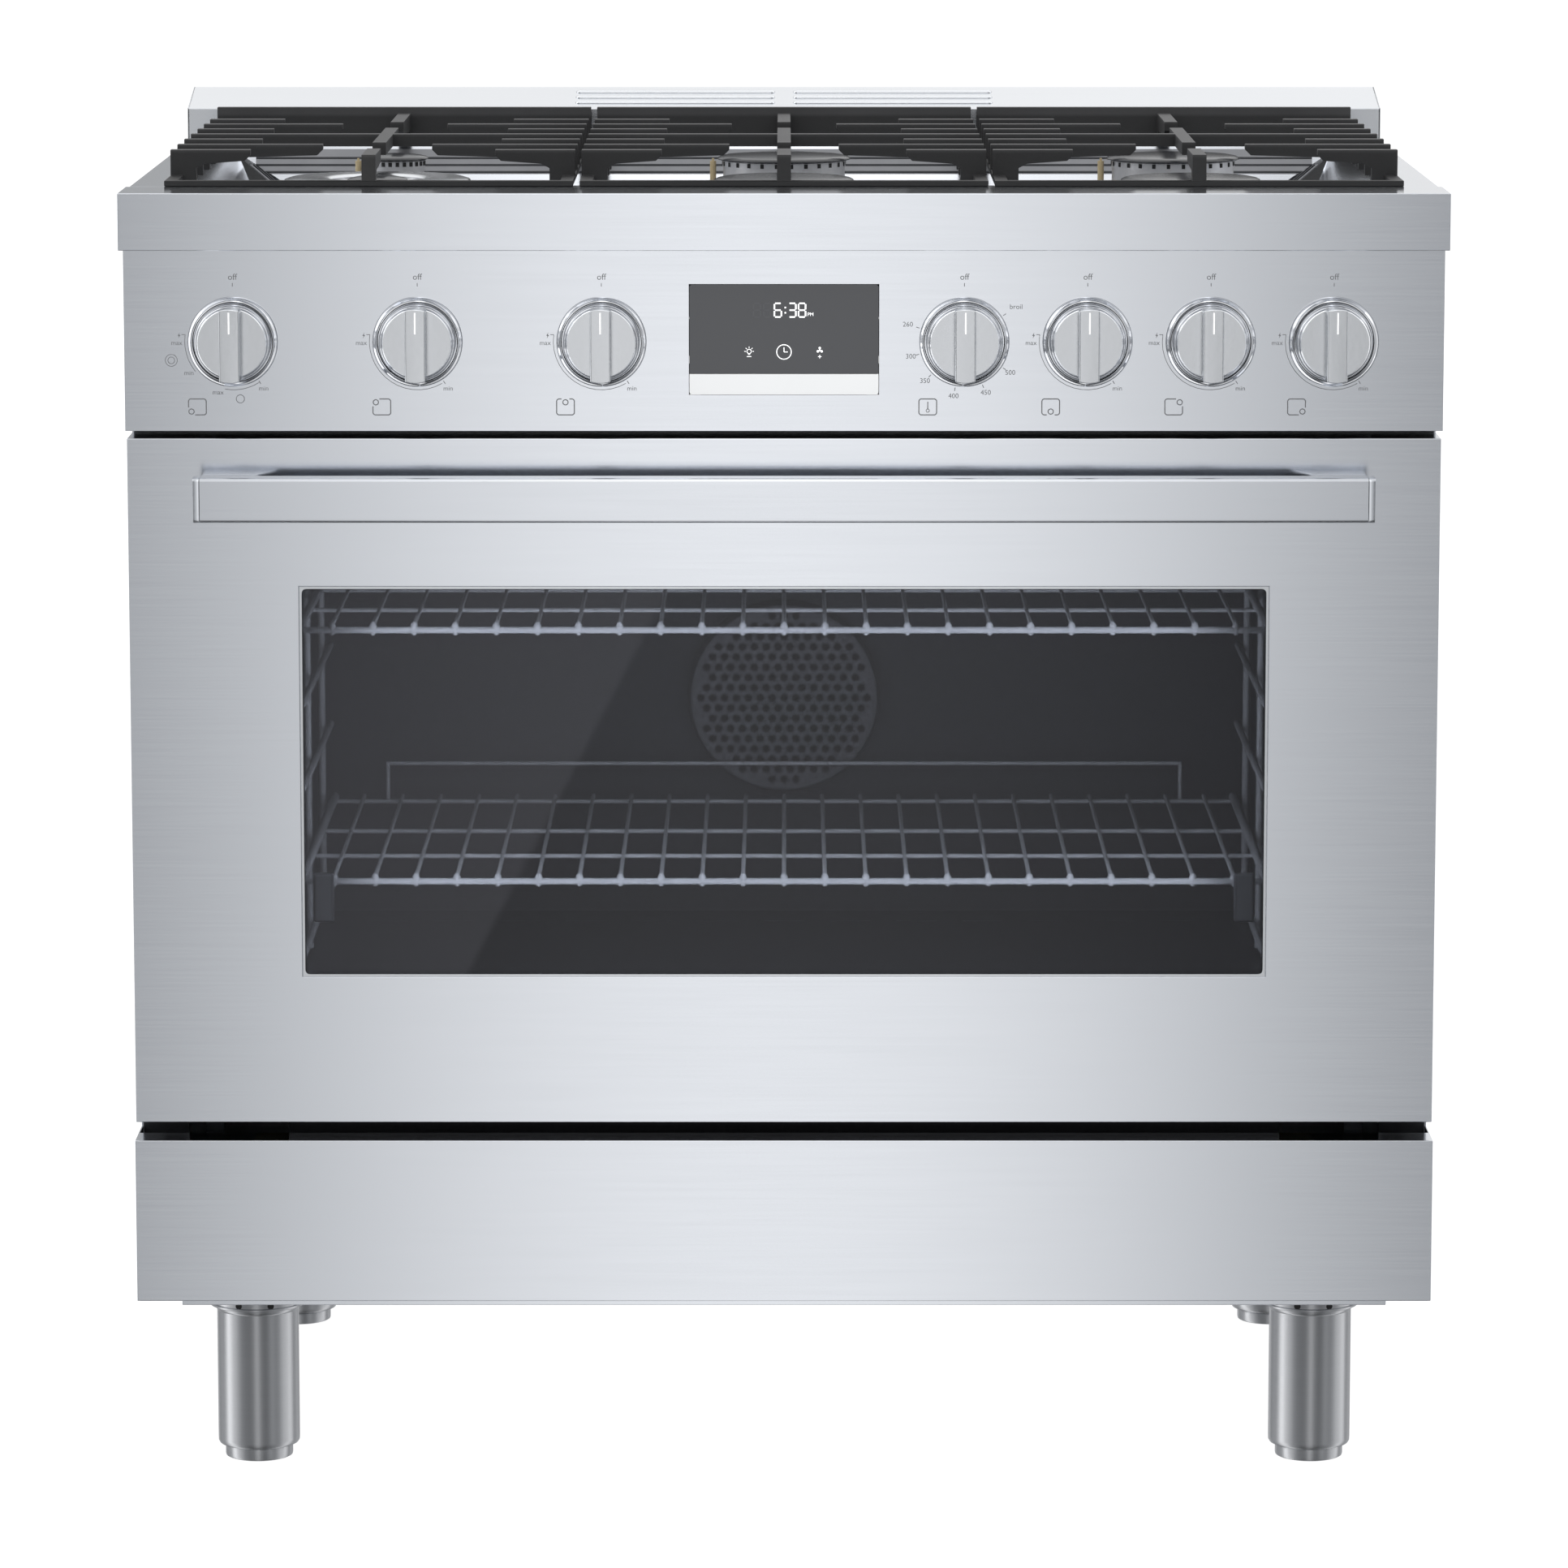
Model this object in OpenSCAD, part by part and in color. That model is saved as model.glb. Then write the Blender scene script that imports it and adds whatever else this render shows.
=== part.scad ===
// Freestanding gas range: six burners, one oven, push-and-turn knobs.
// Lengths are millimetres, +Z is up, -Y is the front, and the floor under the feet is Z = 0.
// Inside each module, Y is counted back from the front of the bullnose; at_front() centres it.

/* [Overall] */
// Width over the bullnose
range_w = 912.8; // [900:0.1:920]
// Width over the side panels and the deck
body_w = 908; // [890:1:910]
// Depth from the bullnose to the back of the vent trim
body_d = 625; // [610:1:660]
// Reach of the door handle in front of the bullnose
handle_out = 40; // [30:1:60]
// Height of the cooktop deck
deck_z = 905; // [895:1:915]
// Thickness of the stainless sheet
sheet = 1.5; // [1:0.1:2]

/* [Front] */
// Height of the bullnose
bullnose_h = 39.3; // [30:0.1:45]
// Depth of the bullnose ledge
bullnose_d = 66; // [50:1:70]
// Setback of the panel, door and kick faces behind the bullnose
face_y = 12; // [8:1:20]
// Bottom of the control panel
panel_z = 740.5; // [735:0.5:745]
// Height of the knob axes
knob_z = 802.2; // [795:0.1:810]
// Width of the display glass
display_w = 130.6; // [100:0.1:160]
// Bottom and top of the display glass
display_zz = [765.4, 841.8]; // [745:0.1:860]

/* [Door] */
// Width of the oven door
door_w = 906; // [880:1:908]
// Bottom and top of the door
door_zz = [255.2, 735.4]; // [245:0.1:738]
// Back face of the door
door_back_y = 62; // [55:1:64]
// Width of the window
window_w = 670.4; // [500:0.1:760]
// Bottom and top of the window
window_zz = [358.7, 632.5]; // [300:0.1:660]
// Width of the handle bar
handle_w = 808; // [600:1:840]
// Bottom and top of the handle bar
handle_zz = [682.6, 713.4]; // [660:0.1:725]
// Hinge axis, back from the bullnose and up from the floor
hinge_yz = [30, 263.7]; // [20:0.1:290]

/* [Cooktop] */
// Width of one grate
grate_w = 283.4; // [270:0.1:290]
// Distance between grate centres
grate_pitch = 288; // [284:1:292]
// Height of the grate tops above the deck
grate_h = 22; // [15:1:30]
// Thickness of a grate finger
finger_t = 9; // [6:1:12]
// Depth of the recessed basin
basin_h = 32; // [20:1:36]
// Front and rear burner rows
burner_y = [178, 415]; // [150:1:450]
// Diameter of a burner cap
cap_d = 99; // [80:1:105]
// Diameter of a burner head
head_d = 91; // [70:1:96]
// Diameter of the two-ring burner
ring_d = 132; // [110:1:140]
// Diameter of its inner cap
inner_cap_d = 43; // [30:1:50]
// Diameter of the simmer burner
simmer_d = 50; // [40:1:70]

/* [Oven] */
// Inner width of the oven
oven_w = 710; // [650:1:740]
// Floor and ceiling of the oven
oven_zz = [296, 680]; // [280:1:700]
// Back wall of the oven
oven_back_y = 490; // [470:1:500]
// Heights of the two racks
rack_z = [416, 595]; // [350:1:640]
// Radius of a rack wire
wire_r = 2.5; // [2:0.1:3]
// Diameter of the fan cover
fan_cover_d = 146; // [120:1:180]
// Height of the fan
fan_z = 490; // [470:1:520]

/* [Legs] */
// Sideways place of a leg from the centre
leg_x = 374.5; // [350:0.5:400]
// Front and rear leg rows
leg_y = [82, 514]; // [60:1:570]
// Diameter of a leg sleeve
leg_d = 58; // [45:1:65]
// Diameter of the collar that holds a leg
collar_d = 70; // [62:1:90]
// Underside of the body
base_z = 127; // [110:1:140]
// Height of the foot under a sleeve
foot_h = 9; // [6:1:15]

/* [Hidden] */
$fn = 48;
mid_depth = (body_d - handle_out) / 2;
half_body = body_w / 2;
half_door = door_w / 2;
half_oven = oven_w / 2;
half_window = window_w / 2;
half_handle = handle_w / 2;
igniter_out = 3.2;
igniter_back = 14;
frame_y = 64;
kick_top = 242.1;
basin_z = deck_z - basin_h;
basin_half = 418;
basin_y = [78, 543];
basin_slope = 18;
vent_d = 62;
vent_h = 38;
louvre_w = 146;
flue_half = 60;
flue_y = [440, 470];
flue_out_y = [576, 606];
flue_z = [730, 758];
inlet_x = 330;
inlet_z = 190;
knob_x = [-379, -252, -125.5, 124, 208.7, 293.4, 378];
oven_knob = 3;
burner_x = [-grate_pitch, 0, grate_pitch];
bar_y = [125, 184, 243, 302, 361, 420, 479];
bar_reach = [56, 103, 56, 0, 56, 103, 56];
stem_r = 4;
run_gap = 0.05;
weld_gap = 0.05;
pin_r = 4;
seat_gap = 0.2;
rack_half = 340;
rack_y = [90, 466];
rack_pitch = 28.9;
side_wire_r = 3;
rail_w = 9;
rail_h = 3.8;
insulation_t = 24;
steel = [0.80, 0.82, 0.85];
dark = [0.13, 0.13, 0.14];
iron = [0.18, 0.18, 0.18];
enamel = [0.16, 0.17, 0.19];
chrome = [0.9, 0.9, 0.92];

// Helpers ------------------------------------------------------------------

module at_front() translate([0, -mid_depth, 0]) children();

// A block from its low corner to its high corner
module block(lo, hi) translate(lo) cube(hi - lo);

// The children and their mirror image across the centre plane
module pair() {
    children();
    mirror([1, 0, 0]) children();
}

module rod_x(x0, x1, y, z, r) translate([x0, y, z]) rotate([0, 90, 0]) cylinder(h = x1 - x0, r = r);
module rod_y(x, y0, y1, z, r) translate([x, y0, z]) rotate([-90, 0, 0]) cylinder(h = y1 - y0, r = r);
module rod_z(x, y, z0, z1, r) translate([x, y, z0]) cylinder(h = z1 - z0, r = r);

// Turns a shape drawn around +Z so that it points out of the front, with its base at depth y
module facing_front(x, y, z) translate([x, y, z]) rotate([90, 0, 0]) children();

// A profile of [y, z] points pulled along X
module along_x(x0, x1) translate([x0, 0, 0]) rotate([90, 0, 90]) linear_extrude(x1 - x0) children();

// A profile of [x, z] points pulled along Y
module along_y(y0, y1) translate([0, y1, 0]) rotate([90, 0, 0]) linear_extrude(y1 - y0) children();

// Body shell ---------------------------------------------------------------

module base_pan() color(steel) at_front() {
    difference() {
        union() {
            block([-half_body + sheet, face_y + sheet, base_z], [half_body - sheet, body_d - 5, base_z + 3]);
            block([-423, 18, base_z - 4], [423, 21, base_z]);
        }
        for (x = [-leg_x, leg_x], y = leg_y) rod_z(x, y, base_z - 1, base_z + 4, 9);
    }
}

module side_panel() {
    block([half_body - sheet, bullnose_d, base_z], [half_body, body_d - 3, deck_z - sheet]);
    // Flange that stiffens the back edge
    block([half_body - 16, bullnose_d + 534, base_z + 3],
          [half_body - sheet, bullnose_d + 534 + sheet, deck_z - sheet]);
}

module side_panels() color(steel) at_front() pair() side_panel();

module rear_panel() color(steel) at_front() difference() {
    block([-half_body + sheet, body_d - 5, base_z], [half_body - sheet, body_d - 3.5, deck_z - sheet]);
    // Gas inlet opening, power cord terminal hole and three rows of cooling slots
    rod_y(inlet_x, body_d - 10, body_d, inlet_z, 18);
    rod_y(-inlet_x, body_d - 10, body_d, inlet_z, 11);
    for (z = [700, 730, 760], x = [-240 : 60 : 240])
        block([x - 22, body_d - 8, z], [x + 22, body_d, z + 6]);
}

module kick_panel() color(steel) at_front() {
    block([-half_body, face_y, base_z + 0.3], [half_body, face_y + sheet, kick_top]);
    block([-half_body + sheet, face_y + sheet, kick_top - sheet], [half_body - sheet, 40, kick_top]);
    pair() block([half_body - sheet, face_y + sheet, base_z + 3.1], [half_body, frame_y, kick_top]);
}

// Sleeve held by a collar under the base
module leg(x, y) difference() {
    union() {
        rod_z(x, y, foot_h + 0.3, base_z - 7, leg_d / 2);
        rod_z(x, y, base_z - 17, base_z, collar_d / 2);
    }
    rod_z(x, y, 0, base_z + 1, 9);
}

module legs() color(steel) at_front() for (x = [-leg_x, leg_x], y = leg_y) leg(x, y);

module foot(x, y) color(steel) at_front() {
    rod_z(x, y, 0, foot_h, 24);
    rod_z(x, y, foot_h, 80, 8.5);
}

module cooktop_deck() color(steel) at_front() difference() {
    union() {
        block([-half_body, bullnose_d, deck_z - sheet], [half_body, body_d - 5, deck_z]);
        block([-basin_half - sheet, basin_y[0] - sheet, basin_z - sheet],
              [basin_half + sheet, basin_y[1] + sheet, deck_z - sheet]);
    }
    hull() {
        block([-basin_half, basin_y[0], deck_z - 0.01], [basin_half, basin_y[1], deck_z + 1]);
        block([-basin_half + basin_slope, basin_y[0] + basin_slope, basin_z],
              [basin_half - basin_slope, basin_y[1] - basin_slope, basin_z + 0.01]);
    }
    // Burner holes, and the mouth of the flue under the vent trim
    for (x = burner_x, y = burner_y) rod_z(x, y, basin_z - 5, basin_z + 5, 16);
    block([-170, 572, deck_z - 5], [170, 612, deck_z + 5]);
}

module front_fascia() color(steel) at_front() difference() {
    block([-range_w / 2, 0, deck_z - bullnose_h], [range_w / 2, bullnose_d, deck_z]);
    block([-range_w / 2 + sheet, sheet, deck_z - bullnose_h + sheet],
          [range_w / 2 - sheet, bullnose_d + 1, deck_z - sheet]);
    block([-range_w / 2 + sheet, 30, deck_z - bullnose_h - 1],
          [range_w / 2 - sheet, bullnose_d + 1, deck_z - bullnose_h + 5]);
}

module control_panel() color(steel) at_front() difference() {
    union() {
        block([-half_body, face_y, panel_z], [half_body, face_y + sheet, deck_z - bullnose_h]);
        block([-half_body, face_y + sheet, panel_z], [half_body, 60, panel_z + sheet]);
        pair() block([half_body - sheet, face_y + sheet, panel_z + sheet],
                     [half_body, frame_y, deck_z - bullnose_h]);
    }
    for (x = knob_x) rod_y(x, face_y - 1, face_y + 3, knob_z, 8);
    block([-display_w / 2, face_y - 1, display_zz[0]], [display_w / 2, face_y + 3, display_zz[1]]);
}

module display_glass() color(dark) at_front() {
    block([-display_w / 2 + 0.2, face_y - 0.5, display_zz[0] + 0.2],
          [display_w / 2 - 0.2, face_y + 3, display_zz[1] - 0.2]);
}

module control_board() color("seagreen") at_front() {
    block([-60, face_y + 10, display_zz[0] + 4], [60, face_y + 11.6, display_zz[1] - 4]);
    block([-45, face_y + 3, display_zz[0] + 16], [45, face_y + 10, display_zz[1] - 10]);
    block([-40, face_y + 11.6, display_zz[0] + 10], [-10, face_y + 30, display_zz[1] - 20]);
    block([8, face_y + 11.6, display_zz[0] + 12], [36, face_y + 26, display_zz[1] - 26]);
}

// Low trim at the back, its top sloping up to the wall
module vent_trim() color(steel) at_front() difference() {
    trim_front = body_d - vent_d;
    top = deck_z + vent_h;
    along_x(-half_body + 0.3, half_body - 0.3) difference() {
        polygon([[trim_front, deck_z], [body_d, deck_z], [body_d, top], [trim_front, deck_z + 25]]);
        polygon([[trim_front + sheet, deck_z - 1], [body_d - sheet, deck_z - 1],
                 [body_d - sheet, top - 2], [trim_front + sheet, deck_z + 23.8]]);
    }
    for (x = [-156, 10], y = [trim_front + 14 : 15 : trim_front + 44])
        block([x, y, deck_z + 10], [x + louvre_w, y + 5, top + 5]);
}

// Oven ---------------------------------------------------------------------

module oven_liner() color(enamel) at_front() difference() {
    block([-half_oven - sheet, frame_y + 2, oven_zz[0] - sheet],
          [half_oven + sheet, oven_back_y + sheet, oven_zz[1] + sheet]);
    block([-half_oven, frame_y - 1, oven_zz[0]], [half_oven, oven_back_y, oven_zz[1]]);
    rod_y(0, oven_back_y - 5, oven_back_y + 5, fan_z, 8);
    block([-flue_half, flue_y[0], oven_zz[1] - 5], [flue_half, flue_y[1], oven_zz[1] + 5]);
}

module oven_front_frame() color(steel) at_front() difference() {
    block([-half_body + sheet, frame_y, base_z + 3], [half_body - sheet, frame_y + 2, panel_z - 2.5]);
    block([-half_oven + 5, frame_y - 1, oven_zz[0] + 9], [half_oven - 5, frame_y + 3, oven_zz[1] - 5]);
    pair() block([350, frame_y - 1, 140], [420, frame_y + 3, 272]);
    block([-350, frame_y - 1, 140], [350, frame_y + 3, 236]);
}

module insulation() color("khaki") at_front() difference() {
    inner = sheet;
    outer = sheet + insulation_t;
    block([-half_oven - outer, frame_y + 2, oven_zz[0] - outer],
          [half_oven + outer, oven_back_y + outer, oven_zz[1] + outer]);
    block([-half_oven - inner, frame_y, oven_zz[0] - inner],
          [half_oven + inner, oven_back_y + inner, oven_zz[1] + inner]);
    rod_y(0, oven_back_y, oven_back_y + 60, fan_z, 10);
    block([-flue_half - 3, flue_y[0] - 3, oven_zz[1]], [flue_half + 3, flue_y[1] + 3, oven_zz[1] + 60]);
    // Clearance for the bodies of the two side lamps
    for (x = [-half_oven - 30, half_oven + 1]) block([x, 255, 590], [x + 29, 325, 630]);
}

module door_gasket() color(dark) at_front() difference() {
    block([-half_oven - 8, door_back_y + 0.4, oven_zz[0] - 4], [half_oven + 8, frame_y, oven_zz[1] + 8]);
    block([-half_oven + 4, door_back_y - 1, oven_zz[0] + 10], [half_oven - 4, frame_y + 1, oven_zz[1] - 4]);
}

module oven_floor() color(enamel) at_front() difference() {
    union() {
        block([-half_oven + 4, 74, 322], [half_oven - 4, oven_back_y - 4, 324]);
        pair() block([half_oven - 6, 74, oven_zz[0]], [half_oven - 4, oven_back_y - 4, 322]);
    }
    for (x = [-300 : 50 : 300], y = [110, 440]) block([x - 15, y, 320], [x + 15, y + 4, 326]);
}

// U-shaped bake burner under the floor plate, and a broil burner with its screen under the ceiling
module oven_burners() color("gray") at_front() {
    pair() rod_y(120, 110, 440, 309, 9);
    rod_x(-129, 129, 449, 309, 9.5);
    difference() {
        block([-160, 110, 650], [160, 420, 672]);
        block([-154, 116, 649], [154, 414, 655]);
    }
    for (y = [180, 265, 350]) block([-154, y - 2, 650], [154, y + 2, 655]);
    pair() block([100, 250, 672], [120, 280, oven_zz[1]]);
}

// Welded wire ladders: each wire is a solid of its own, a hair clear of the wires it is welded to
module rack_supports() color("silver") at_front() pair() {
    wire_x0 = 343.5;
    post_x = wire_x0 + 2 * wire_r + weld_gap;
    for (y = [130, 290, 450]) wire_z(post_x, y, 330, 655, wire_r);
    for (z = [350, rack_z[0] - 6.3, 470, 530, rack_z[1] - 6.3, 645]) wire_y(wire_x0, 90, 475, z, wire_r);
    for (y = [130, 450], z = [340, 620])
        block([post_x + wire_r + weld_gap, y - 6, z], [half_oven, y + 6, z + 8]);
}

module oven_lamps() color("ivory") at_front() pair() {
    block([half_oven - 3, 262, 597], [half_oven, 318, 623]);
    block([half_oven + sheet, 262, 597], [half_oven + 22, 318, 623]);
}

module fan_cover() color("silver") at_front() difference() {
    facing_front(0, oven_back_y, fan_z) cylinder(h = 18, d = fan_cover_d, $fn = 64);
    facing_front(0, oven_back_y + 1, fan_z) cylinder(h = 17.5, d = fan_cover_d - 3, $fn = 64);
    for (ring = [1 : 3], i = [0 : 6 * ring - 1])
        rotate_about_fan(i * 60 / ring) facing_front(ring * 19, oven_back_y - 10, fan_z)
            cylinder(h = 12, r = 6, $fn = 24);
}

// Turns the children about the fan's axis
module rotate_about_fan(angle)
    translate([0, 0, fan_z]) rotate([0, angle, 0]) translate([0, 0, -fan_z]) children();

module convection_fan() color("silver") at_front() {
    rod_y(0, oven_back_y - 14, oven_back_y - 4, fan_z, 14);
    rod_y(0, oven_back_y - 4, oven_back_y + 42, fan_z, 3);
    for (i = [0 : 7]) rotate_about_fan(i * 45)
        block([12, oven_back_y - 14, fan_z - 0.8], [58, oven_back_y - 5, fan_z + 0.8]);
}

module fan_motor() color("gray") at_front() difference() {
    union() {
        rod_y(0, oven_back_y + 28, oven_back_y + 62, fan_z, 34);
        block([-60, oven_back_y + 25.5, fan_z - 12], [60, oven_back_y + 28, fan_z + 12]);
    }
    rod_y(0, oven_back_y + 20, oven_back_y + 45, fan_z, 3 + run_gap);
}

// Hollow duct that rises from the oven, runs back and rises again under the vent trim
module flue_duct() color("silver") at_front() difference() {
    outer = flue_half + 2;
    union() {
        block([-outer, flue_y[0] - 2, oven_zz[1] + sheet], [outer, flue_y[1] + 2, flue_z[1] + 2]);
        block([-outer, flue_y[0] - 2, flue_z[0] - 2], [outer, flue_out_y[1] + 2, flue_z[1] + 2]);
        block([-outer, flue_out_y[0] - 2, flue_z[0] - 2], [outer, flue_out_y[1] + 2, deck_z - sheet]);
    }
    block([-flue_half, flue_y[0], oven_zz[1]], [flue_half, flue_y[1], flue_z[1]]);
    block([-flue_half, flue_y[0], flue_z[0]], [flue_half, flue_out_y[1], flue_z[1]]);
    block([-flue_half, flue_out_y[0], flue_z[0]], [flue_half, flue_out_y[1], deck_z]);
}

// Gas ----------------------------------------------------------------------

module gas_valves() color("goldenrod") at_front() for (x = knob_x) difference() {
    union() {
        block([x - 11, 34, knob_z - 14], [x + 11, 66, knob_z + 14]);
        rod_y(x, 24, 34, knob_z, 9);
    }
    rod_y(x, 20, 54, knob_z, stem_r + run_gap);
}

// A pipe through a list of points, each leg along one axis
module pipe(points, r) for (i = [0 : len(points) - 2]) {
    a = points[i];
    b = points[i + 1];
    lo = [min(a.x, b.x), min(a.y, b.y), min(a.z, b.z)];
    span = abs(a.x - b.x) + abs(a.y - b.y) + abs(a.z - b.z);
    turn = a.x != b.x ? [0, 90, 0] : (a.y != b.y ? [-90, 0, 0] : [0, 0, 0]);
    translate(lo) rotate(turn) cylinder(h = span, r = r);
    if (i > 0) translate(a) sphere(r = r + 0.6);
}

module gas_lines() color("silver") at_front() {
    // Manifold, and the supply pipe from the rear inlet
    rod_x(-400, 400, 76, knob_z, 10);
    difference() {
        union() {
            pipe([[400, 76, knob_z], [415, 76, knob_z], [415, 560, knob_z], [415, 560, inlet_z],
                  [inlet_x, 560, inlet_z], [inlet_x, body_d - 12, inlet_z]], 10);
            rod_y(inlet_x, body_d - 30, body_d - 5, inlet_z, 15);
        }
        rod_y(inlet_x, body_d - 20, body_d - 4, inlet_z, 9.5);
    }
    // One feed tube from each burner valve to its burner
    for (i = [0 : 6]) if (i != oven_knob) {
        slot = i > oven_knob ? i - 1 : i;
        bx = burner_x[floor(slot / 2)];
        by = burner_y[slot % 2];
        lane_y = 92 + 5 * slot;
        lane_z = 822 + (slot % 2) * 10;
        pipe([[knob_x[i], 60, knob_z + 14], [knob_x[i], 60, lane_z], [knob_x[i], lane_y, lane_z],
              [bx - 12, lane_y, lane_z], [bx - 12, by, lane_z], [bx - 12, by, basin_z - 12]], 3);
    }
}

function cap_r(ix, iy) = ix == 0 ? (iy == 0 ? ring_d / 2 : simmer_d / 2) : cap_d / 2;
function head_r(ix, iy) = ix == 0 ? (iy == 0 ? ring_d / 2 - 3 : simmer_d / 2 - 3) : head_d / 2;
cap_z = deck_z - 4;

module burner_heads() color("silver") at_front() for (ix = [0 : 2], iy = [0 : 1]) {
    x = burner_x[ix];
    y = burner_y[iy];
    r = head_r(ix, iy);
    difference() {
        union() {
            rod_z(x, y, basin_z, basin_z + 8, r + 8);
            rod_z(x, y, basin_z + 8, cap_z, r);
            rod_z(x, y, basin_z - 11, basin_z, 15);
        }
        rod_z(x, y, basin_z - 12, cap_z - 6, 9);
        // Notch in the dish that the igniter stands in
        rod_z(x - cap_r(ix, iy) - igniter_out, y + igniter_back, basin_z - 1, basin_z + 9, 3);
        // Flame ports around the top
        for (a = [0 : 15 : 345]) translate([x, y, cap_z - 4]) rotate(a)
            block([r - 3, -1.2, -1], [r + 1, 1.2, 2]);
    }
}

module round_cap(r) rotate_extrude($fn = 64)
    polygon([[0, 0], [r, 0], [r, 1.6], [r - 5, 3.2], [r * 0.6, 4], [0, 4.4]]);

// The two-ring burner has a ring-shaped cap round a small inner one
module burner_caps() color(enamel) at_front() for (ix = [0 : 2], iy = [0 : 1])
    translate([burner_x[ix], burner_y[iy], cap_z]) {
        two_rings = ix == 0 && iy == 0;
        round_cap(two_rings ? inner_cap_d / 2 : cap_r(ix, iy));
        if (two_rings) rotate_extrude($fn = 64) polygon([
            [ring_d / 2 - 32, 0], [ring_d / 2, 0], [ring_d / 2, 1.6], [ring_d / 2 - 5, 3.2],
            [ring_d / 2 - 26, 3.6], [ring_d / 2 - 32, 2]]);
    }

module igniters() color("ivory") at_front() for (ix = [0 : 2], iy = [0 : 1])
    rod_z(burner_x[ix] - cap_r(ix, iy) - igniter_out, burner_y[iy] + igniter_back, basin_z, cap_z, 2.5);

// One finger from the outer edge of a grate, its leg standing on the side rail
module finger(reach) polygon([[0, 0], [18, 0], [18, 9], [24, 12], [reach - 4, 14], [reach, 18],
                              [reach, grate_h - seat_gap], [0, grate_h - seat_gap]]);

module grate(cx) color(iron) at_front() translate([cx, 0, deck_z + seat_gap]) {
    half = grate_w / 2;
    top = grate_h - seat_gap;
    spine = 9.7;
    block([-half, bullnose_d + 0.5, 0], [half, 75, rail_h]);
    block([-half, 546, 0], [half, 554, top + 4.8]);
    pair() block([half - rail_w, 75, 0], [half, 546, rail_h]);
    pair() for (i = [0 : 6]) if (i != 3)
        translate([half, bar_y[i] - finger_t / 2, 0]) mirror([1, 0, 0])
            along_y(0, finger_t) finger(bar_reach[i]);
    block([-half, bar_y[3] - finger_t / 2, top - 9], [half, bar_y[3] + finger_t / 2, top]);
    pair() block([half - 18, bar_y[3] - finger_t / 2, 0], [half, bar_y[3] + finger_t / 2, top - 9]);
    // Fingers on the centre line: front post, middle and rear
    along_x(-spine / 2, spine / 2)
        polygon([[66.5, 0], [75, 0], [84, 10], [132, 12], [136, 15], [136, top], [68, top]]);
    block([-spine / 2, 203, top - 9], [spine / 2, 373, top]);
    along_x(-spine / 2, spine / 2)
        polygon([[546, 6], [546, top], [443, top], [443, 15], [447, 12], [532, 9]]);
}

module grate_left() grate(burner_x[0]);
module grate_centre() grate(burner_x[1]);
module grate_right() grate(burner_x[2]);

// Racks --------------------------------------------------------------------

module wire_x(x0, x1, y, z, r) rod_x(x0, x1, y, z, r, $fn = 8);
module wire_y(x, y0, y1, z, r) rod_y(x, y0, y1, z, r, $fn = 8);
module wire_z(x, y, z0, z1, r) rod_z(x, y, z0, z1, r, $fn = 8);

// Welded from straight wires, each one a solid of its own; the shelf lies at height z
module rack(z) color("silver") at_front() {
    shelf_r = wire_r - 0.5;
    cross_z = z - shelf_r - wire_r - weld_gap;
    cross_half = rack_half - side_wire_r - weld_gap;
    stop_half = 300;
    stop_y = rack_y[1] - 6 + 2 * wire_r + weld_gap;
    stop_z = z + 25;
    for (i = [-11 : 11]) wire_y(i * rack_pitch, rack_y[0], rack_y[1], z, shelf_r);
    pair() wire_y(rack_half, rack_y[0], rack_y[1], z - 0.5, side_wire_r);
    for (y = [rack_y[0] + wire_r, 203, 317, rack_y[1] - 6])
        wire_x(-cross_half, cross_half, y, cross_z, wire_r);
    // Raised stop along the back
    wire_x(-stop_half - wire_r, stop_half + wire_r, stop_y, stop_z, wire_r);
    pair() wire_z(stop_half, stop_y, cross_z - wire_r, stop_z - wire_r - weld_gap, wire_r);
}

module rack_lower() rack(rack_z[0]);
module rack_upper() rack(rack_z[1]);

// Knobs --------------------------------------------------------------------

module knob_bezels() color(chrome) at_front() for (x = knob_x)
    facing_front(x, face_y, knob_z) rotate_extrude($fn = 64)
        polygon([[27.2, 0], [31, 0], [31, 2], [29.6, 5], [28.2, 5.6], [27.2, 5]]);

module knob(i) color(chrome) at_front() difference() {
    facing_front(knob_x[i], face_y, knob_z) {
        rotate_extrude($fn = 64) polygon([[0, 5], [26, 5], [26.4, 11], [25.6, 14], [24.2, 15.5], [0, 15.5]]);
        intersection() {
            cylinder(h = 38, r = 25.4, $fn = 64);
            block([-7, -30, 15], [7, 30, 38]);
        }
    }
    rod_y(knob_x[i], -9, 12, knob_z, stem_r + run_gap);
}

module valve_stem(i) color("goldenrod") at_front() rod_y(knob_x[i], -8.5, 49, knob_z, stem_r);

// Door ---------------------------------------------------------------------

// Room in the door around each hinge bracket: the lower back corner, open to below and behind
module hinge_notches() pair() block([424, 20, door_zz[0] - 1], [438.5, door_back_y + 1, 278]);

module door_skin() color(steel) at_front() difference() {
    block([-half_door, face_y, door_zz[0]], [half_door, 48, door_zz[1]]);
    block([-half_door + sheet, face_y + sheet, door_zz[0] + sheet],
          [half_door - sheet, 49, door_zz[1] - sheet]);
    block([-half_window, face_y - 1, window_zz[0]], [half_window, face_y + 3, window_zz[1]]);
    // Slot along the lower edge that lets cooling air in between the panes
    block([-400, 22, door_zz[0] - 1], [400, 46, door_zz[0] + sheet + 1]);
    hinge_notches();
}

module door_liner() color(steel) at_front() difference() {
    block([-half_door, 48, door_zz[0]], [half_door, door_back_y, door_zz[1]]);
    block([-half_door + sheet, 47, door_zz[0] + sheet],
          [half_door - sheet, door_back_y - sheet, door_zz[1] - sheet]);
    block([-336, 50, 341], [336, door_back_y + 1, 649]);
    hinge_notches();
}

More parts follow.
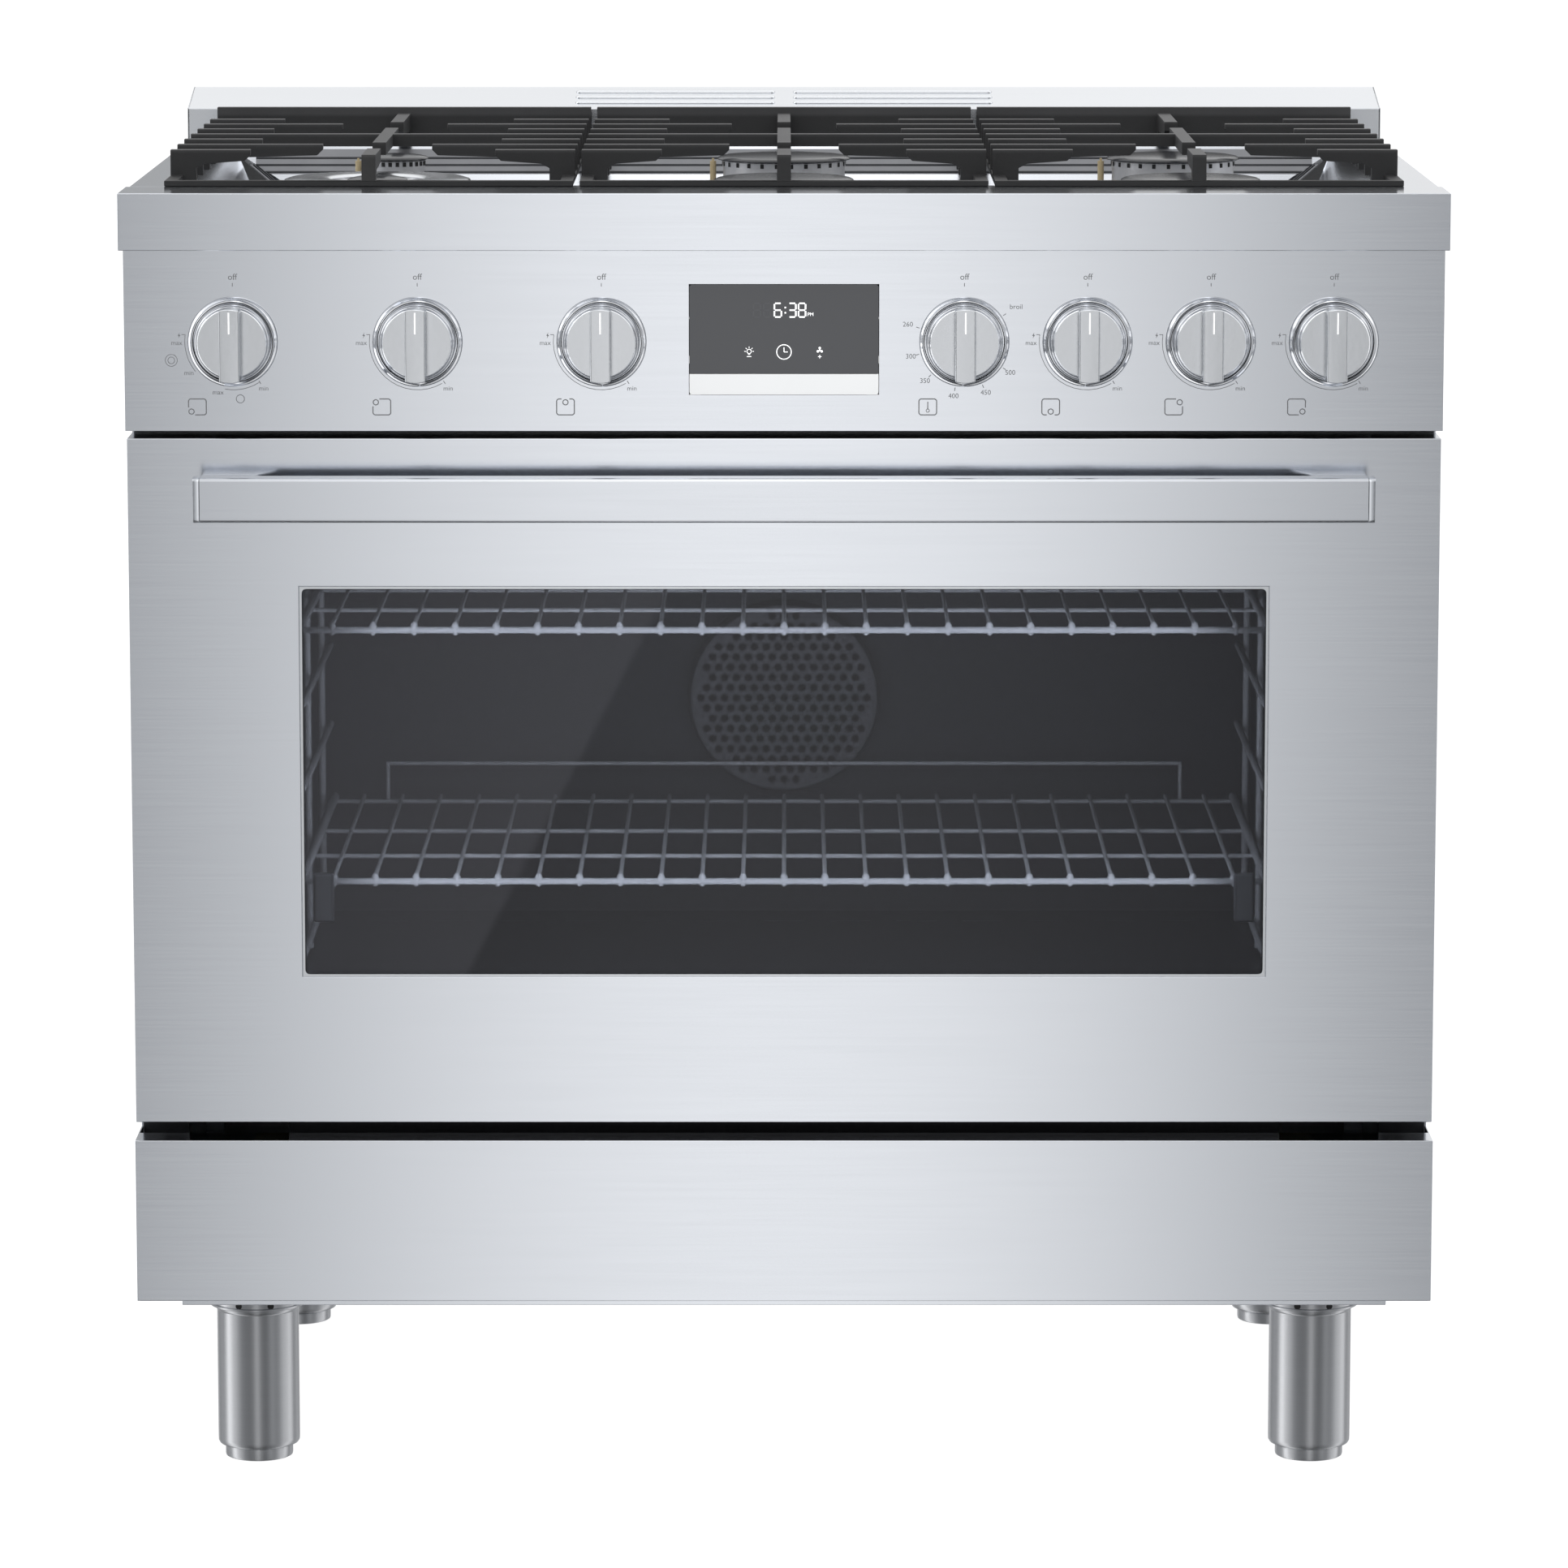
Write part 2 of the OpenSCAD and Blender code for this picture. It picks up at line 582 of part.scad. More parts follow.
module outer_glass() color([0.25, 0.26, 0.28]) at_front()
    block([-half_window - 10, face_y + sheet, window_zz[0] - 10],
          [half_window + 10, face_y + sheet + 4, window_zz[1] + 10]);

module inner_glass() color([0.4, 0.42, 0.45]) at_front() {
    block([-344, door_back_y - sheet - 4, 334], [344, door_back_y - sheet, 656]);
    // Two clips that hold the pane in the liner
    pair() block([315.5, door_back_y - sheet - 9, 390], [330.5, door_back_y - sheet - 4, 425]);
}

module handle_bar() color(steel) at_front() {
    mid = (handle_zz[0] + handle_zz[1]) / 2;
    half_h = (handle_zz[1] - handle_zz[0]) / 2;
    along_x(-half_handle, half_handle) polygon([
        [-handle_out + 5, mid - half_h], [-handle_out + 1.5, mid - half_h + 3], [-handle_out, mid - 6],
        [-handle_out, mid + 6], [-handle_out + 1.5, mid + half_h - 3], [-handle_out + 5, mid + half_h],
        [-handle_out + 16, mid + half_h], [-handle_out + 19, mid + half_h - 3],
        [-handle_out + 19, mid - half_h + 3], [-handle_out + 16, mid - half_h]]);
}

module handle_posts() color(steel) at_front() pair()
    translate([0, 0, handle_zz[0] + 3]) linear_extrude(handle_zz[1] - handle_zz[0] - 6)
        polygon([[half_handle - 2, -handle_out + 19], [half_handle - 2, face_y],
                 [half_handle - 40, face_y], [half_handle - 53, -handle_out + 19]]);

module hinge_arms() color("gray") at_front() pair() difference() {
    block([439, 18, door_zz[0] + sheet], [445, 48, 330]);
    rod_x(438, 446, hinge_yz[0], hinge_yz[1], pin_r + run_gap);
}

// Fixed brackets that reach from the oven frame into the door, each with its pin
module hinge_brackets() color("gray") at_front() pair() {
    block([429, hinge_yz[0] - 6, hinge_yz[1] - 6], [433, frame_y, hinge_yz[1] + 6]);
    block([424.5, frame_y - 2, hinge_yz[1] - 6], [429, frame_y, hinge_yz[1] + 40]);
    rod_x(433, 444, hinge_yz[0], hinge_yz[1], pin_r);
}

base_pan();
side_panels();
rear_panel();
kick_panel();
legs();
cooktop_deck();
front_fascia();
control_panel();
display_glass();
control_board();
vent_trim();
flue_duct();
oven_liner();
oven_front_frame();
insulation();
door_gasket();
oven_floor();
oven_burners();
rack_supports();
oven_lamps();
fan_cover();
fan_motor();
gas_valves();
gas_lines();
burner_heads();
burner_caps();
igniters();
knob_bezels();
hinge_brackets();
door_skin();
door_liner();
outer_glass();
inner_glass();
handle_bar();
handle_posts();
hinge_arms();
grate_left();
grate_centre();
grate_right();
rack_lower();
rack_upper();
convection_fan();
for (i = [0 : 6]) {
    valve_stem(i);
    knob(i);
}
foot(-leg_x, leg_y[0]);  // foot_front_left
foot(leg_x, leg_y[0]);  // foot_front_right
foot(-leg_x, leg_y[1]);  // foot_rear_left
foot(leg_x, leg_y[1]);  // foot_rear_right
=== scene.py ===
# %% [markdown]
# # A freestanding gas range
#
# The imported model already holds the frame: every panel, burner, rack, knob and the door, each at its real
# size. This lesson dresses that frame. Flat sheet-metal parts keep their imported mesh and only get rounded
# edges and a finish. Parts whose charm is in their shape, such as the knobs, the grates and the burners, are
# modelled again in the same place, and ride on the same body so that they still move.

# %% Load the frame and keep its size
import math

import bmesh
import bpy
from mathutils import Matrix, Vector


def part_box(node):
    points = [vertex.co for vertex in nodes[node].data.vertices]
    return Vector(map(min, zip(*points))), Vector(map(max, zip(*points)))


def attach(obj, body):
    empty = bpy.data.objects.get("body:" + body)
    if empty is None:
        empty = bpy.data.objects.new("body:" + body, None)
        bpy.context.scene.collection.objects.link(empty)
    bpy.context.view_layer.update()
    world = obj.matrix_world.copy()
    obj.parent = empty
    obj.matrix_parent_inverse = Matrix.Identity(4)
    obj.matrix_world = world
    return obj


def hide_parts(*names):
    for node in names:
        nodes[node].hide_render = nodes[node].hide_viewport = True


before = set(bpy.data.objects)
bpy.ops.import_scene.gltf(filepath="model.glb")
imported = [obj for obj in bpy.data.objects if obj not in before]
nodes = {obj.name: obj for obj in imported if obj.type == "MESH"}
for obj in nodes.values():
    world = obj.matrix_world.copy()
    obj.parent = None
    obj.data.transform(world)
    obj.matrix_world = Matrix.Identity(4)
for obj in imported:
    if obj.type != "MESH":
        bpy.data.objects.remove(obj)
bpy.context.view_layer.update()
MM = 0.001

# %% [markdown]
# ## Where things are
#
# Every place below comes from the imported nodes, so that a change of size in the model moves the looks too.
# The range faces -Y, X runs to the right and Z up.

# %% Places read from the frame
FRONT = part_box("front_fascia")[0].y
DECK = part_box("cooktop_deck")[1].z
PANEL_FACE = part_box("control_panel")[0].y
DOOR_LOW, DOOR_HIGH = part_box("door_skin")
BODY_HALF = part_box("side_panels")[1].x
KNOBS = ["knob_%d" % number for number in range(1, 8)]
GRATES = ("grate_left", "grate_centre", "grate_right")
FEET = ["foot_%s_%s" % (row, side) for row in ("front", "rear") for side in ("left", "right")]
OVEN_KNOB = 3


def middle(node):
    """The centre of a node's box."""
    low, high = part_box(node)
    return (low + high) / 2


KNOB_X = [middle(name).x for name in KNOBS]
KNOB_Z = middle(KNOBS[0]).z
print("knob axes", [round(x, 3) for x in KNOB_X], "at height", round(KNOB_Z, 3))

# %% [markdown]
# ## Camera
#
# The range is seen straight from the front, from about eye height and more than four metres away, so a long
# lens keeps its sides nearly parallel. The camera looks down a little, which shows the cooktop as a thin band.

# %% Camera
CAMERA_DISTANCE = 4.94
CAMERA_HEIGHT = 1.2525
CAMERA_PITCH = 8.703
SENSOR = 36.0
FOCAL_WIDTHS = 4.602

camera_data = bpy.data.cameras.new("camera")
camera_data.sensor_width = SENSOR
camera_data.lens = SENSOR * FOCAL_WIDTHS
camera = bpy.data.objects.new("camera", camera_data)
camera.location = (0, FRONT - CAMERA_DISTANCE, CAMERA_HEIGHT)
camera.rotation_euler = (math.radians(90 - CAMERA_PITCH), 0, 0)
bpy.context.scene.collection.objects.link(camera)
bpy.context.scene.camera = camera
bpy.context.scene.view_settings.view_transform = "Standard"

# %% [markdown]
# ## A small language for shader maths
#
# Node graphs are easier to read as formulas. `Value` wraps one socket, and each operator on it adds the Math
# node that does that sum. `Graph` makes any other node: its settings are set first, then its inputs.

# %% Shader helpers
class Value:
    """One output socket, with arithmetic that adds Math nodes."""

    def __init__(self, graph, socket):
        self.graph = graph
        self.socket = socket

    def maths(self, operation, *others, flip=False):
        terms = [self, *others]
        if flip:
            terms.reverse()
        return self.graph.node("ShaderNodeMath", {"operation": operation}, dict(enumerate(terms)))

    def __add__(self, other):
        return self.maths("ADD", other)

    def __radd__(self, other):
        return self.maths("ADD", other, flip=True)

    def __sub__(self, other):
        return self.maths("SUBTRACT", other)

    def __rsub__(self, other):
        return self.maths("SUBTRACT", other, flip=True)

    def __mul__(self, other):
        return self.maths("MULTIPLY", other)

    def __rmul__(self, other):
        return self.maths("MULTIPLY", other, flip=True)

    def __truediv__(self, other):
        return self.maths("DIVIDE", other)

    def size(self):
        return self.maths("ABSOLUTE")

    def limited(self):
        """Held between 0 and 1."""
        return self.maths("MAXIMUM", 0.0).maths("MINIMUM", 1.0)

    def hump(self, centre, width):
        """1 at the centre, falling smoothly to 0 at one width away."""
        near = (1 - ((self - centre) / width).size()).limited()
        return near * near * (3 - 2 * near)


class Graph:
    """The node tree of a material or of the world."""

    def __init__(self, owner):
        owner.use_nodes = True
        self.tree = owner.node_tree

    def node(self, kind, settings=None, inputs=None, out=0):
        made = self.tree.nodes.new(kind)
        for name, setting in (settings or {}).items():
            if name == "stops":
                self.set_stops(made.color_ramp, setting)
            else:
                setattr(made, name, setting)
        for name, term in (inputs or {}).items():
            self.feed(made.inputs[name], term)
        return Value(self, made.outputs[out])

    def set_stops(self, ramp, stops):
        while len(ramp.elements) < len(stops):
            ramp.elements.new(1.0)
        for element, (place, colour) in zip(ramp.elements, stops):
            element.position = place
            element.color = colour

    def feed(self, socket, term):
        if isinstance(term, Value):
            self.tree.links.new(term.socket, socket)
        else:
            socket.default_value = term

    def noise(self, scale, stretch=(1, 1, 1), detail=2.0):
        """Noise on object coordinates, stretched along each axis."""
        place = self.node("ShaderNodeTexCoord", out="Object")
        placed = self.node("ShaderNodeMapping", None, {"Vector": place, "Scale": stretch})
        return self.node("ShaderNodeTexNoise", None, {"Vector": placed, "Scale": scale, "Detail": detail})

    def mix(self, share, first, second):
        """A blend of two colours."""
        return self.node("ShaderNodeMix", {"data_type": "RGBA"}, {0: share, 6: first, 7: second}, out=2)

    def object_axes(self):
        place = self.node("ShaderNodeTexCoord", out="Object")
        split = self.tree.nodes.new("ShaderNodeSeparateXYZ")
        self.feed(split.inputs[0], place)
        return [Value(self, output) for output in split.outputs]


def colour(red, green, blue):
    return (red, green, blue, 1.0)


class Finish(Graph):
    """A material with one Principled shader."""

    def __init__(self, name, **constants):
        self.material = bpy.data.materials.new(name)
        super().__init__(self.material)
        self.shader = self.tree.nodes["Principled BSDF"]
        for socket, term in constants.items():
            self.set(socket.replace("_", " "), term)

    def set(self, socket, term):
        self.feed(self.shader.inputs[socket], term)

    def bump(self, height, strength, distance=0.0005):
        inputs = {"Height": height, "Strength": strength, "Distance": distance}
        self.set("Normal", self.node("ShaderNodeBump", None, inputs))


print("shader helpers ready")

# %% [markdown]
# ## Floor and studio light
#
# Polished steel shows whatever stands round it, so the studio is drawn into the world: a bright card in front,
# one wide card at each side, a pale ceiling, and a room that is paler beside and behind the range. Window bars
# at the sides give the chrome rings something sharp to show. Only reflections see all this. The floor is lit
# by a very soft sun from above, and is kept out of the reflections so that the steel stays clean.

# %% Floor
FLOOR_HALF = 60.0
FLOOR_GLOW = 0.98

floor_mesh = bpy.data.meshes.new("floor")
floor_shape = bmesh.new()
bmesh.ops.create_grid(floor_shape, x_segments=1, y_segments=1, size=FLOOR_HALF)
floor_shape.to_mesh(floor_mesh)
floor_shape.free()
floor = bpy.data.objects.new("floor", floor_mesh)
bpy.context.scene.collection.objects.link(floor)
floor.visible_glossy = False
floor_paint = Finish("floor_paint", Base_Color=colour(0.08, 0.08, 0.08), Roughness=0.9)
floor_paint.set("Emission Color", colour(1.0, 1.0, 1.0))
floor_paint.set("Emission Strength", FLOOR_GLOW)
floor_mesh.materials.append(floor_paint.material)

# %% Sun
SUN_STRENGTH = 2.3
SUN_SPREAD = 120
SUN_TILT = (25, -12)

sun_data = bpy.data.lights.new("ceiling_light", "SUN")
sun_data.energy = SUN_STRENGTH
sun_data.angle = math.radians(SUN_SPREAD)
sun = bpy.data.objects.new("ceiling_light", sun_data)
sun.rotation_euler = (math.radians(SUN_TILT[0]), math.radians(SUN_TILT[1]), 0)
sun.visible_glossy = False
bpy.context.scene.collection.objects.link(sun)

# %% World seen in reflections
DIM_WALLS = 0.178
BAR_COUNT = 11.0
BAR_DEPTH = 0.35

world = bpy.data.worlds.new("studio")
bpy.context.scene.world = world
studio = Graph(world)
direction = studio.node("ShaderNodeTexCoord", out="Generated")
parts = studio.tree.nodes.new("ShaderNodeSeparateXYZ")
studio.feed(parts.inputs[0], direction)
across, ahead, up = [Value(studio, output) for output in parts.outputs]
# Zero straight in front of the range, positive to its right
azimuth = across.maths("ARCTAN2", ahead * -1.0)
front_card = azimuth.hump(-0.003, 0.135) * (((up + 0.14) / 0.05).limited() * 0.07 + 1.02)
left_card = azimuth.hump(-1.45, 0.5) * 1.2
right_card = azimuth.hump(1.65, 0.45) * 0.9
# Window bars, which only polished rings are sharp enough to show
beside = ((azimuth.size() - 0.35) / 0.1).limited() * ((0.4 - up.size()) / 0.1).limited()
bars = ((azimuth * BAR_COUNT).maths("SINE") * 3.0).limited()
ceiling = ((up - 0.2) / 0.3).limited() * 0.5
back_wall = ((azimuth.size() - 2.2) / 0.5).limited() * 0.25
dark_below = ((up * -1.0 - 0.4) / 0.3).limited() * 0.16
# The rest of the room is paler than the wall in front, so that steel reads as steel from the side too
room = ((azimuth.size() - 0.5) / 0.2).limited() * 0.2
even_level = room + front_card + left_card + right_card + ceiling + back_wall + DIM_WALLS - dark_below
level = even_level * (1.0 - beside * (BAR_DEPTH - 2 * BAR_DEPTH * bars))
tint = studio.mix(level.limited(), colour(0.93, 0.96, 1.0), colour(1.0, 1.0, 1.0))
shown = studio.node("ShaderNodeLightPath", out="Is Camera Ray")
strength = studio.node("ShaderNodeMix", {"data_type": "FLOAT"}, {0: shown, 2: level, 3: 1.0})
studio.feed(studio.tree.nodes["Background"].inputs["Color"], tint)
studio.feed(studio.tree.nodes["Background"].inputs["Strength"], strength)

# %% [markdown]
# ## Finishes
#
# Brushed stainless steel is metal with very fine scratches that all run one way. Noise that is stretched a
# thousand times along the brushing gives those scratches; it changes the roughness, the colour and a very
# shallow bump together.

# %% Brushed steel
def brushed(name, base, roughness, along="x", depth=1.0):
    """Steel whose scratches run along one axis."""
    finish = Finish(name, Metallic=1.0)
    stretch = {"x": (0.012, 1.0, 1.0), "y": (1.0, 0.012, 1.0), "xy": (0.012, 0.012, 1.0)}[along]
    scratches = finish.noise(900.0, stretch, 3.0)
    broad = finish.noise(3.0, tuple(min(1.0, part * 12) for part in stretch), 2.0)
    shade = 0.95 + 0.06 * scratches + 0.03 * broad
    dull = tuple(part * 0.9 for part in base[:3]) + (1.0,)
    finish.set("Base Color", finish.mix((shade - 0.95) * 10.0, dull, base))
    finish.set("Roughness", roughness - 0.03 + 0.06 * scratches)
    finish.bump(scratches, 0.02 * depth, 0.0001)
    return finish.material


STEEL = colour(0.80, 0.825, 0.87)
steel_x = brushed("brushed_steel_across", STEEL, 0.14)
steel_y = brushed("brushed_steel_deep", STEEL, 0.30, along="y")
steel_bar = brushed("brushed_steel_bar", STEEL, 0.15)
steel_leg = brushed("satin_steel_leg", colour(0.60, 0.61, 0.63), 0.32, along="xy")
steel_trim = brushed("bright_trim", colour(0.80, 0.82, 0.85), 0.2)


# %% Plain finishes
def speckled(name, first, second, scale, roughness, metallic=0.0):
    """A finish whose colour drifts between two near shades."""
    finish = Finish(name, Roughness=roughness, Metallic=metallic)
    drift = finish.noise(scale, detail=4.0)
    finish.set("Base Color", finish.mix(drift, colour(*first), colour(*second)))
    finish.bump(drift, 0.04)
    return finish.material


zinc = speckled("zinc_sheet", (0.42, 0.43, 0.45), (0.52, 0.53, 0.55), 60.0, 0.42, 0.8)
enamel = speckled("dark_enamel", (0.016, 0.017, 0.02), (0.024, 0.025, 0.028), 300.0, 0.22)
liner_enamel = speckled("liner_enamel", (0.028, 0.029, 0.032), (0.04, 0.04, 0.044), 300.0, 0.34)
# Painted shade: a near-black finish set where holes, slots and ports show only shade
hole_shade_black = speckled("painted_hole_shade", (0.004, 0.004, 0.004), (0.008, 0.008, 0.008), 80.0, 0.7)
rack_chrome = speckled("rack_wire", (0.50, 0.50, 0.52), (0.60, 0.60, 0.62), 90.0, 0.25, 1.0)
chrome = speckled("polished_chrome", (0.86, 0.87, 0.89), (0.90, 0.91, 0.93), 40.0, 0.05, 1.0)
brass = speckled("machined_brass", (0.60, 0.42, 0.16), (0.68, 0.50, 0.22), 200.0, 0.3, 1.0)
seal_rubber = speckled("woven_seal", (0.03, 0.03, 0.03), (0.07, 0.07, 0.07), 900.0, 0.8)
board_green = speckled("circuit_board", (0.01, 0.10, 0.04), (0.02, 0.14, 0.06), 150.0, 0.35)
wool = speckled("mineral_wool", (0.42, 0.36, 0.22), (0.60, 0.54, 0.38), 220.0, 0.95)
ceramic = speckled("igniter_ceramic", (0.36, 0.28, 0.15), (0.48, 0.40, 0.25), 120.0, 0.3)
aluminium = speckled("cast_aluminium", (0.50, 0.50, 0.51), (0.60, 0.60, 0.61), 400.0, 0.42, 0.9)
print("finishes ready")

# %% [markdown]
# Cast iron is dark and slightly grainy. The colour is paler towards the top edges of a grate, so a little of
# it follows the height above the deck.

# %% Cast iron
TOP_PALE_FROM = DECK + 0.0195
TOP_PALE_OVER = 0.0025

iron = Finish("cast_iron", Roughness=0.55)
grain = iron.noise(700.0, detail=5.0)
patches = iron.noise(14.0, detail=3.0)
height = iron.object_axes()[2]
# The colour grows paler towards the top edges, by height above the deck
top_pale_share = ((height - TOP_PALE_FROM) / TOP_PALE_OVER).limited() * (0.4 + 0.6 * patches)
body_iron = iron.mix(patches, colour(0.011, 0.011, 0.0115), colour(0.017, 0.017, 0.0175))
iron.set("Base Color", iron.mix(top_pale_share * 0.3, body_iron, colour(0.11, 0.11, 0.113)))
iron.set("Roughness", 0.46 + 0.14 * grain)
iron.bump(grain, 0.25, 0.0003)
cast_iron = iron.material

# %% [markdown]
# ## Rounded edges on sheet metal
#
# No folded sheet has a knife edge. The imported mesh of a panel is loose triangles, so three modifiers follow
# each other: Weld joins them, Decimate in planar mode clears the lines inside flat faces, and Bevel rounds
# every corner that is sharper than thirty degrees. That bright rounded corner is what makes a panel read as
# metal.

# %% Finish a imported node
def soften(node, width, segments=2):
    """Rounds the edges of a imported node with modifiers."""
    thing = nodes[node]
    weld = thing.modifiers.new("join_triangles", "WELD")
    weld.merge_threshold = 0.00002
    flat = thing.modifiers.new("clear_flat_faces", "DECIMATE")
    flat.decimate_type = "DISSOLVE"
    flat.angle_limit = math.radians(0.5)
    bevel = thing.modifiers.new("round_edges", "BEVEL")
    bevel.width = width
    bevel.segments = segments
    bevel.limit_method = "ANGLE"
    bevel.angle_limit = math.radians(30)
    bevel.use_clamp_overlap = True
    bevel.harden_normals = False


def dress(node, material, edge=0.0, segments=2):
    """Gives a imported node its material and, if asked, rounded edges."""
    thing = nodes[node]
    thing.data.materials.clear()
    thing.data.materials.append(material)
    if edge:
        soften(node, edge, segments)


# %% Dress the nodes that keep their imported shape
for name in ("front_fascia", "control_panel", "kick_panel", "door_skin", "base_pan"):
    dress(name, steel_x, 0.0006, 3)
dress("door_liner", steel_x, 0.0004)
dress("oven_front_frame", enamel, 0.0004)
dress("side_panels", steel_y, 0.0004)
dress("cooktop_deck", steel_x, 0.002, 3)
dress("vent_trim", steel_trim, 0.0006)
dress("rear_panel", zinc)
for name in ("flue_duct", "fan_motor", "hinge_arms", "hinge_brackets", "oven_burners"):
    dress(name, zinc)
for name in ("oven_liner", "oven_floor"):
    dress(name, liner_enamel, 0.0006)
dress("burner_caps", enamel)
dress("burner_heads", aluminium)
dress("gas_lines", aluminium)
dress("gas_valves", brass)
for name in GRATES:
    dress(name, cast_iron, 0.0014, 3)
for name in ("rack_lower", "rack_upper", "rack_supports", "fan_cover", "convection_fan"):
    dress(name, rack_chrome)
dress("handle_bar", steel_bar)
dress("handle_posts", steel_bar, 0.001, 3)
dress("legs", steel_leg)
dress("door_gasket", seal_rubber)
dress("control_board", board_green)
dress("insulation", wool)
dress("igniters", ceramic)
dress("knob_bezels", chrome)
for name in KNOBS:
    dress(name, steel_bar)
for number in range(1, 8):
    dress("valve_stem_%d" % number, brass)
for name in FEET:
    dress(name, steel_leg)

# %% [markdown]
# ## Glass
#
# The door has two panes of tinted glass. Each is a mix: mostly clear and dark, with a mirror-like coat on top.
# The outer pane also carries a painted reflection: its colour is paler on one side of a slanting line.

# %% Glass finishes
# A painted reflection: a slanting edge, from the upper middle to the lower left, splits the pane into a paler
# and a darker half: where it stands at floor level, how far it leans for each metre of height, and how soft it is
PAINTED_REFLECTION = (-0.405, 0.52, 0.006)
# How much paler the painted reflection makes the tint
REFLECTION_GAIN = 2.4


def tinted_glass(name, tint, clearness, reflection_line=None):
    """A pane that darkens what is behind it and still shines."""
    finish = Finish(name, Base_Color=tint, Roughness=0.04)
    # A painted reflection: the colour is paler on one side of the slanting line
    if reflection_line:
        across, _, height = finish.object_axes()
        start, slant, soft = reflection_line
        reflection_side = ((start + slant * height - across) / soft).limited()
        paler = tuple(part * REFLECTION_GAIN for part in tint[:3]) + (1.0,)
        finish.set("Base Color", finish.mix(reflection_side, tint, paler))
    clear = finish.node("ShaderNodeBsdfTransparent", None, {"Color": colour(0.74, 0.76, 0.80)})
    share = clearness + 0.02 * finish.noise(2.0)
    solid = Value(finish, finish.shader.outputs[0])
    both = finish.node("ShaderNodeMixShader", None, {0: share, 1: solid, 2: clear})
    output = finish.tree.nodes["Material Output"]
    finish.feed(output.inputs["Surface"], both)
    return finish.material


outer_pane = tinted_glass("outer_pane", colour(0.019, 0.019, 0.021), 0.62, PAINTED_REFLECTION)
inner_pane = tinted_glass("inner_pane", colour(0.03, 0.03, 0.032), 0.86)
dress("outer_glass", outer_pane)
dress("inner_glass", inner_pane)
display_black = speckled("display_black", (0.055, 0.057, 0.062), (0.06, 0.062, 0.067), 5.0, 0.16)
dress("display_glass", display_black, 0.0004)

# %% [markdown]
# ## Tools for making pieces
#
# Each new piece starts as a bmesh: a cube, a cylinder, or a few points that are spun or pulled. `place_piece`
# turns it into an object, makes its normals point outwards, and hangs it on a body of the frame.

# %% Mesh tools
SMOOTH_ANGLE = math.radians(35)


def add_block(shape, low, high):
    """A box between two corners."""
    low, high = Vector(low), Vector(high)
    size = Matrix.Diagonal(((high - low).x, (high - low).y, (high - low).z, 1.0))
    made = bmesh.ops.create_cube(shape, size=1.0, matrix=Matrix.Translation((low + high) / 2) @ size)
    return made["verts"]


def add_rod(shape, start, end, radius, sides=12):
    """A round bar between two points."""
    start, end = Vector(start), Vector(end)
    along = end - start
    turn = along.to_track_quat("Z", "Y").to_matrix().to_4x4()
    place = Matrix.Translation((start + end) / 2) @ turn
    made = bmesh.ops.create_cone(
        shape, cap_ends=True, segments=sides, radius1=radius, radius2=radius, depth=along.length, matrix=place
    )
    return made["verts"]


def add_lathe(shape, profile, place, sides=64):
    """Spins (radius, height) points round the local Z axis, then puts the result in place."""
    verts = [shape.verts.new((radius, 0, up)) for radius, up in profile]
    edges = [shape.edges.new(pair) for pair in zip(verts, verts[1:])]
    made = bmesh.ops.spin(
        shape, geom=verts + edges, axis=(0, 0, 1), cent=(0, 0, 0), angle=math.tau, steps=sides, use_merge=True
    )
    ring = {v for item in made["geom_last"] for v in (item.verts if hasattr(item, "verts") else [item])}
    body = set(verts) | ring
    front = list(body)
    while front:
        vert = front.pop()
        for edge in vert.link_edges:
            other = edge.other_vert(vert)
            if other not in body:
                body.add(other)
                front.append(other)
    bmesh.ops.remove_doubles(shape, verts=list(body), dist=0.00001)
    kept = [v for v in body if v.is_valid]
    bmesh.ops.transform(shape, matrix=place, verts=kept)
    return kept


def add_prism(shape, points, pull):
    """Pulls a flat outline of 3-D points along a vector."""
    verts = [shape.verts.new(point) for point in points]
    face = shape.faces.new(verts)
    pulled = bmesh.ops.extrude_face_region(shape, geom=[face], use_keep_orig=True)
    moved = [item for item in pulled["geom"] if isinstance(item, bmesh.types.BMVert)]
    bmesh.ops.translate(shape, verts=moved, vec=Vector(pull))
    return verts + moved


def round_corners(shape, width, segments=2, sharper=30, verts=None):
    """Bevels the edges that are sharper than an angle in degrees."""
    chosen = set(verts) if verts else None
    sharp = [
        edge
        for edge in shape.edges
        if edge.is_manifold
        and edge.calc_face_angle(0.0) > math.radians(sharper)
        and (chosen is None or all(v in chosen for v in edge.verts))
    ]
    options = {"affect": "EDGES", "profile": 0.5, "material": -1, "clamp_overlap": True}
    bmesh.ops.bevel(shape, geom=sharp, offset=width, segments=segments, **options)


def place_piece(name, shape, body, material, replaces=(), smooth=SMOOTH_ANGLE):
    """Makes the object, gives it its finish and puts it on its body."""
    bmesh.ops.recalc_face_normals(shape, faces=shape.faces)
    mesh = bpy.data.meshes.new(name)
    shape.to_mesh(mesh)
    shape.free()
    mesh.shade_smooth()
    mesh.set_sharp_from_angle(angle=smooth)
    thing = bpy.data.objects.new(name, mesh)
    bpy.context.scene.collection.objects.link(thing)
    mesh.materials.append(material)
    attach(thing, body)
    if replaces:
        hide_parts(*replaces)
    flat = thing.modifiers.new("flat_faces_stay_flat", "WEIGHTED_NORMAL")
    flat.keep_sharp = True
    print(name, "has", len(mesh.polygons), "faces")
    return thing


def facing_front(x, y, z):
    """Turns local Z to point out of the front of the range."""
    return Matrix.Translation((x, y, z)) @ Matrix.Rotation(math.radians(90), 4, "X")


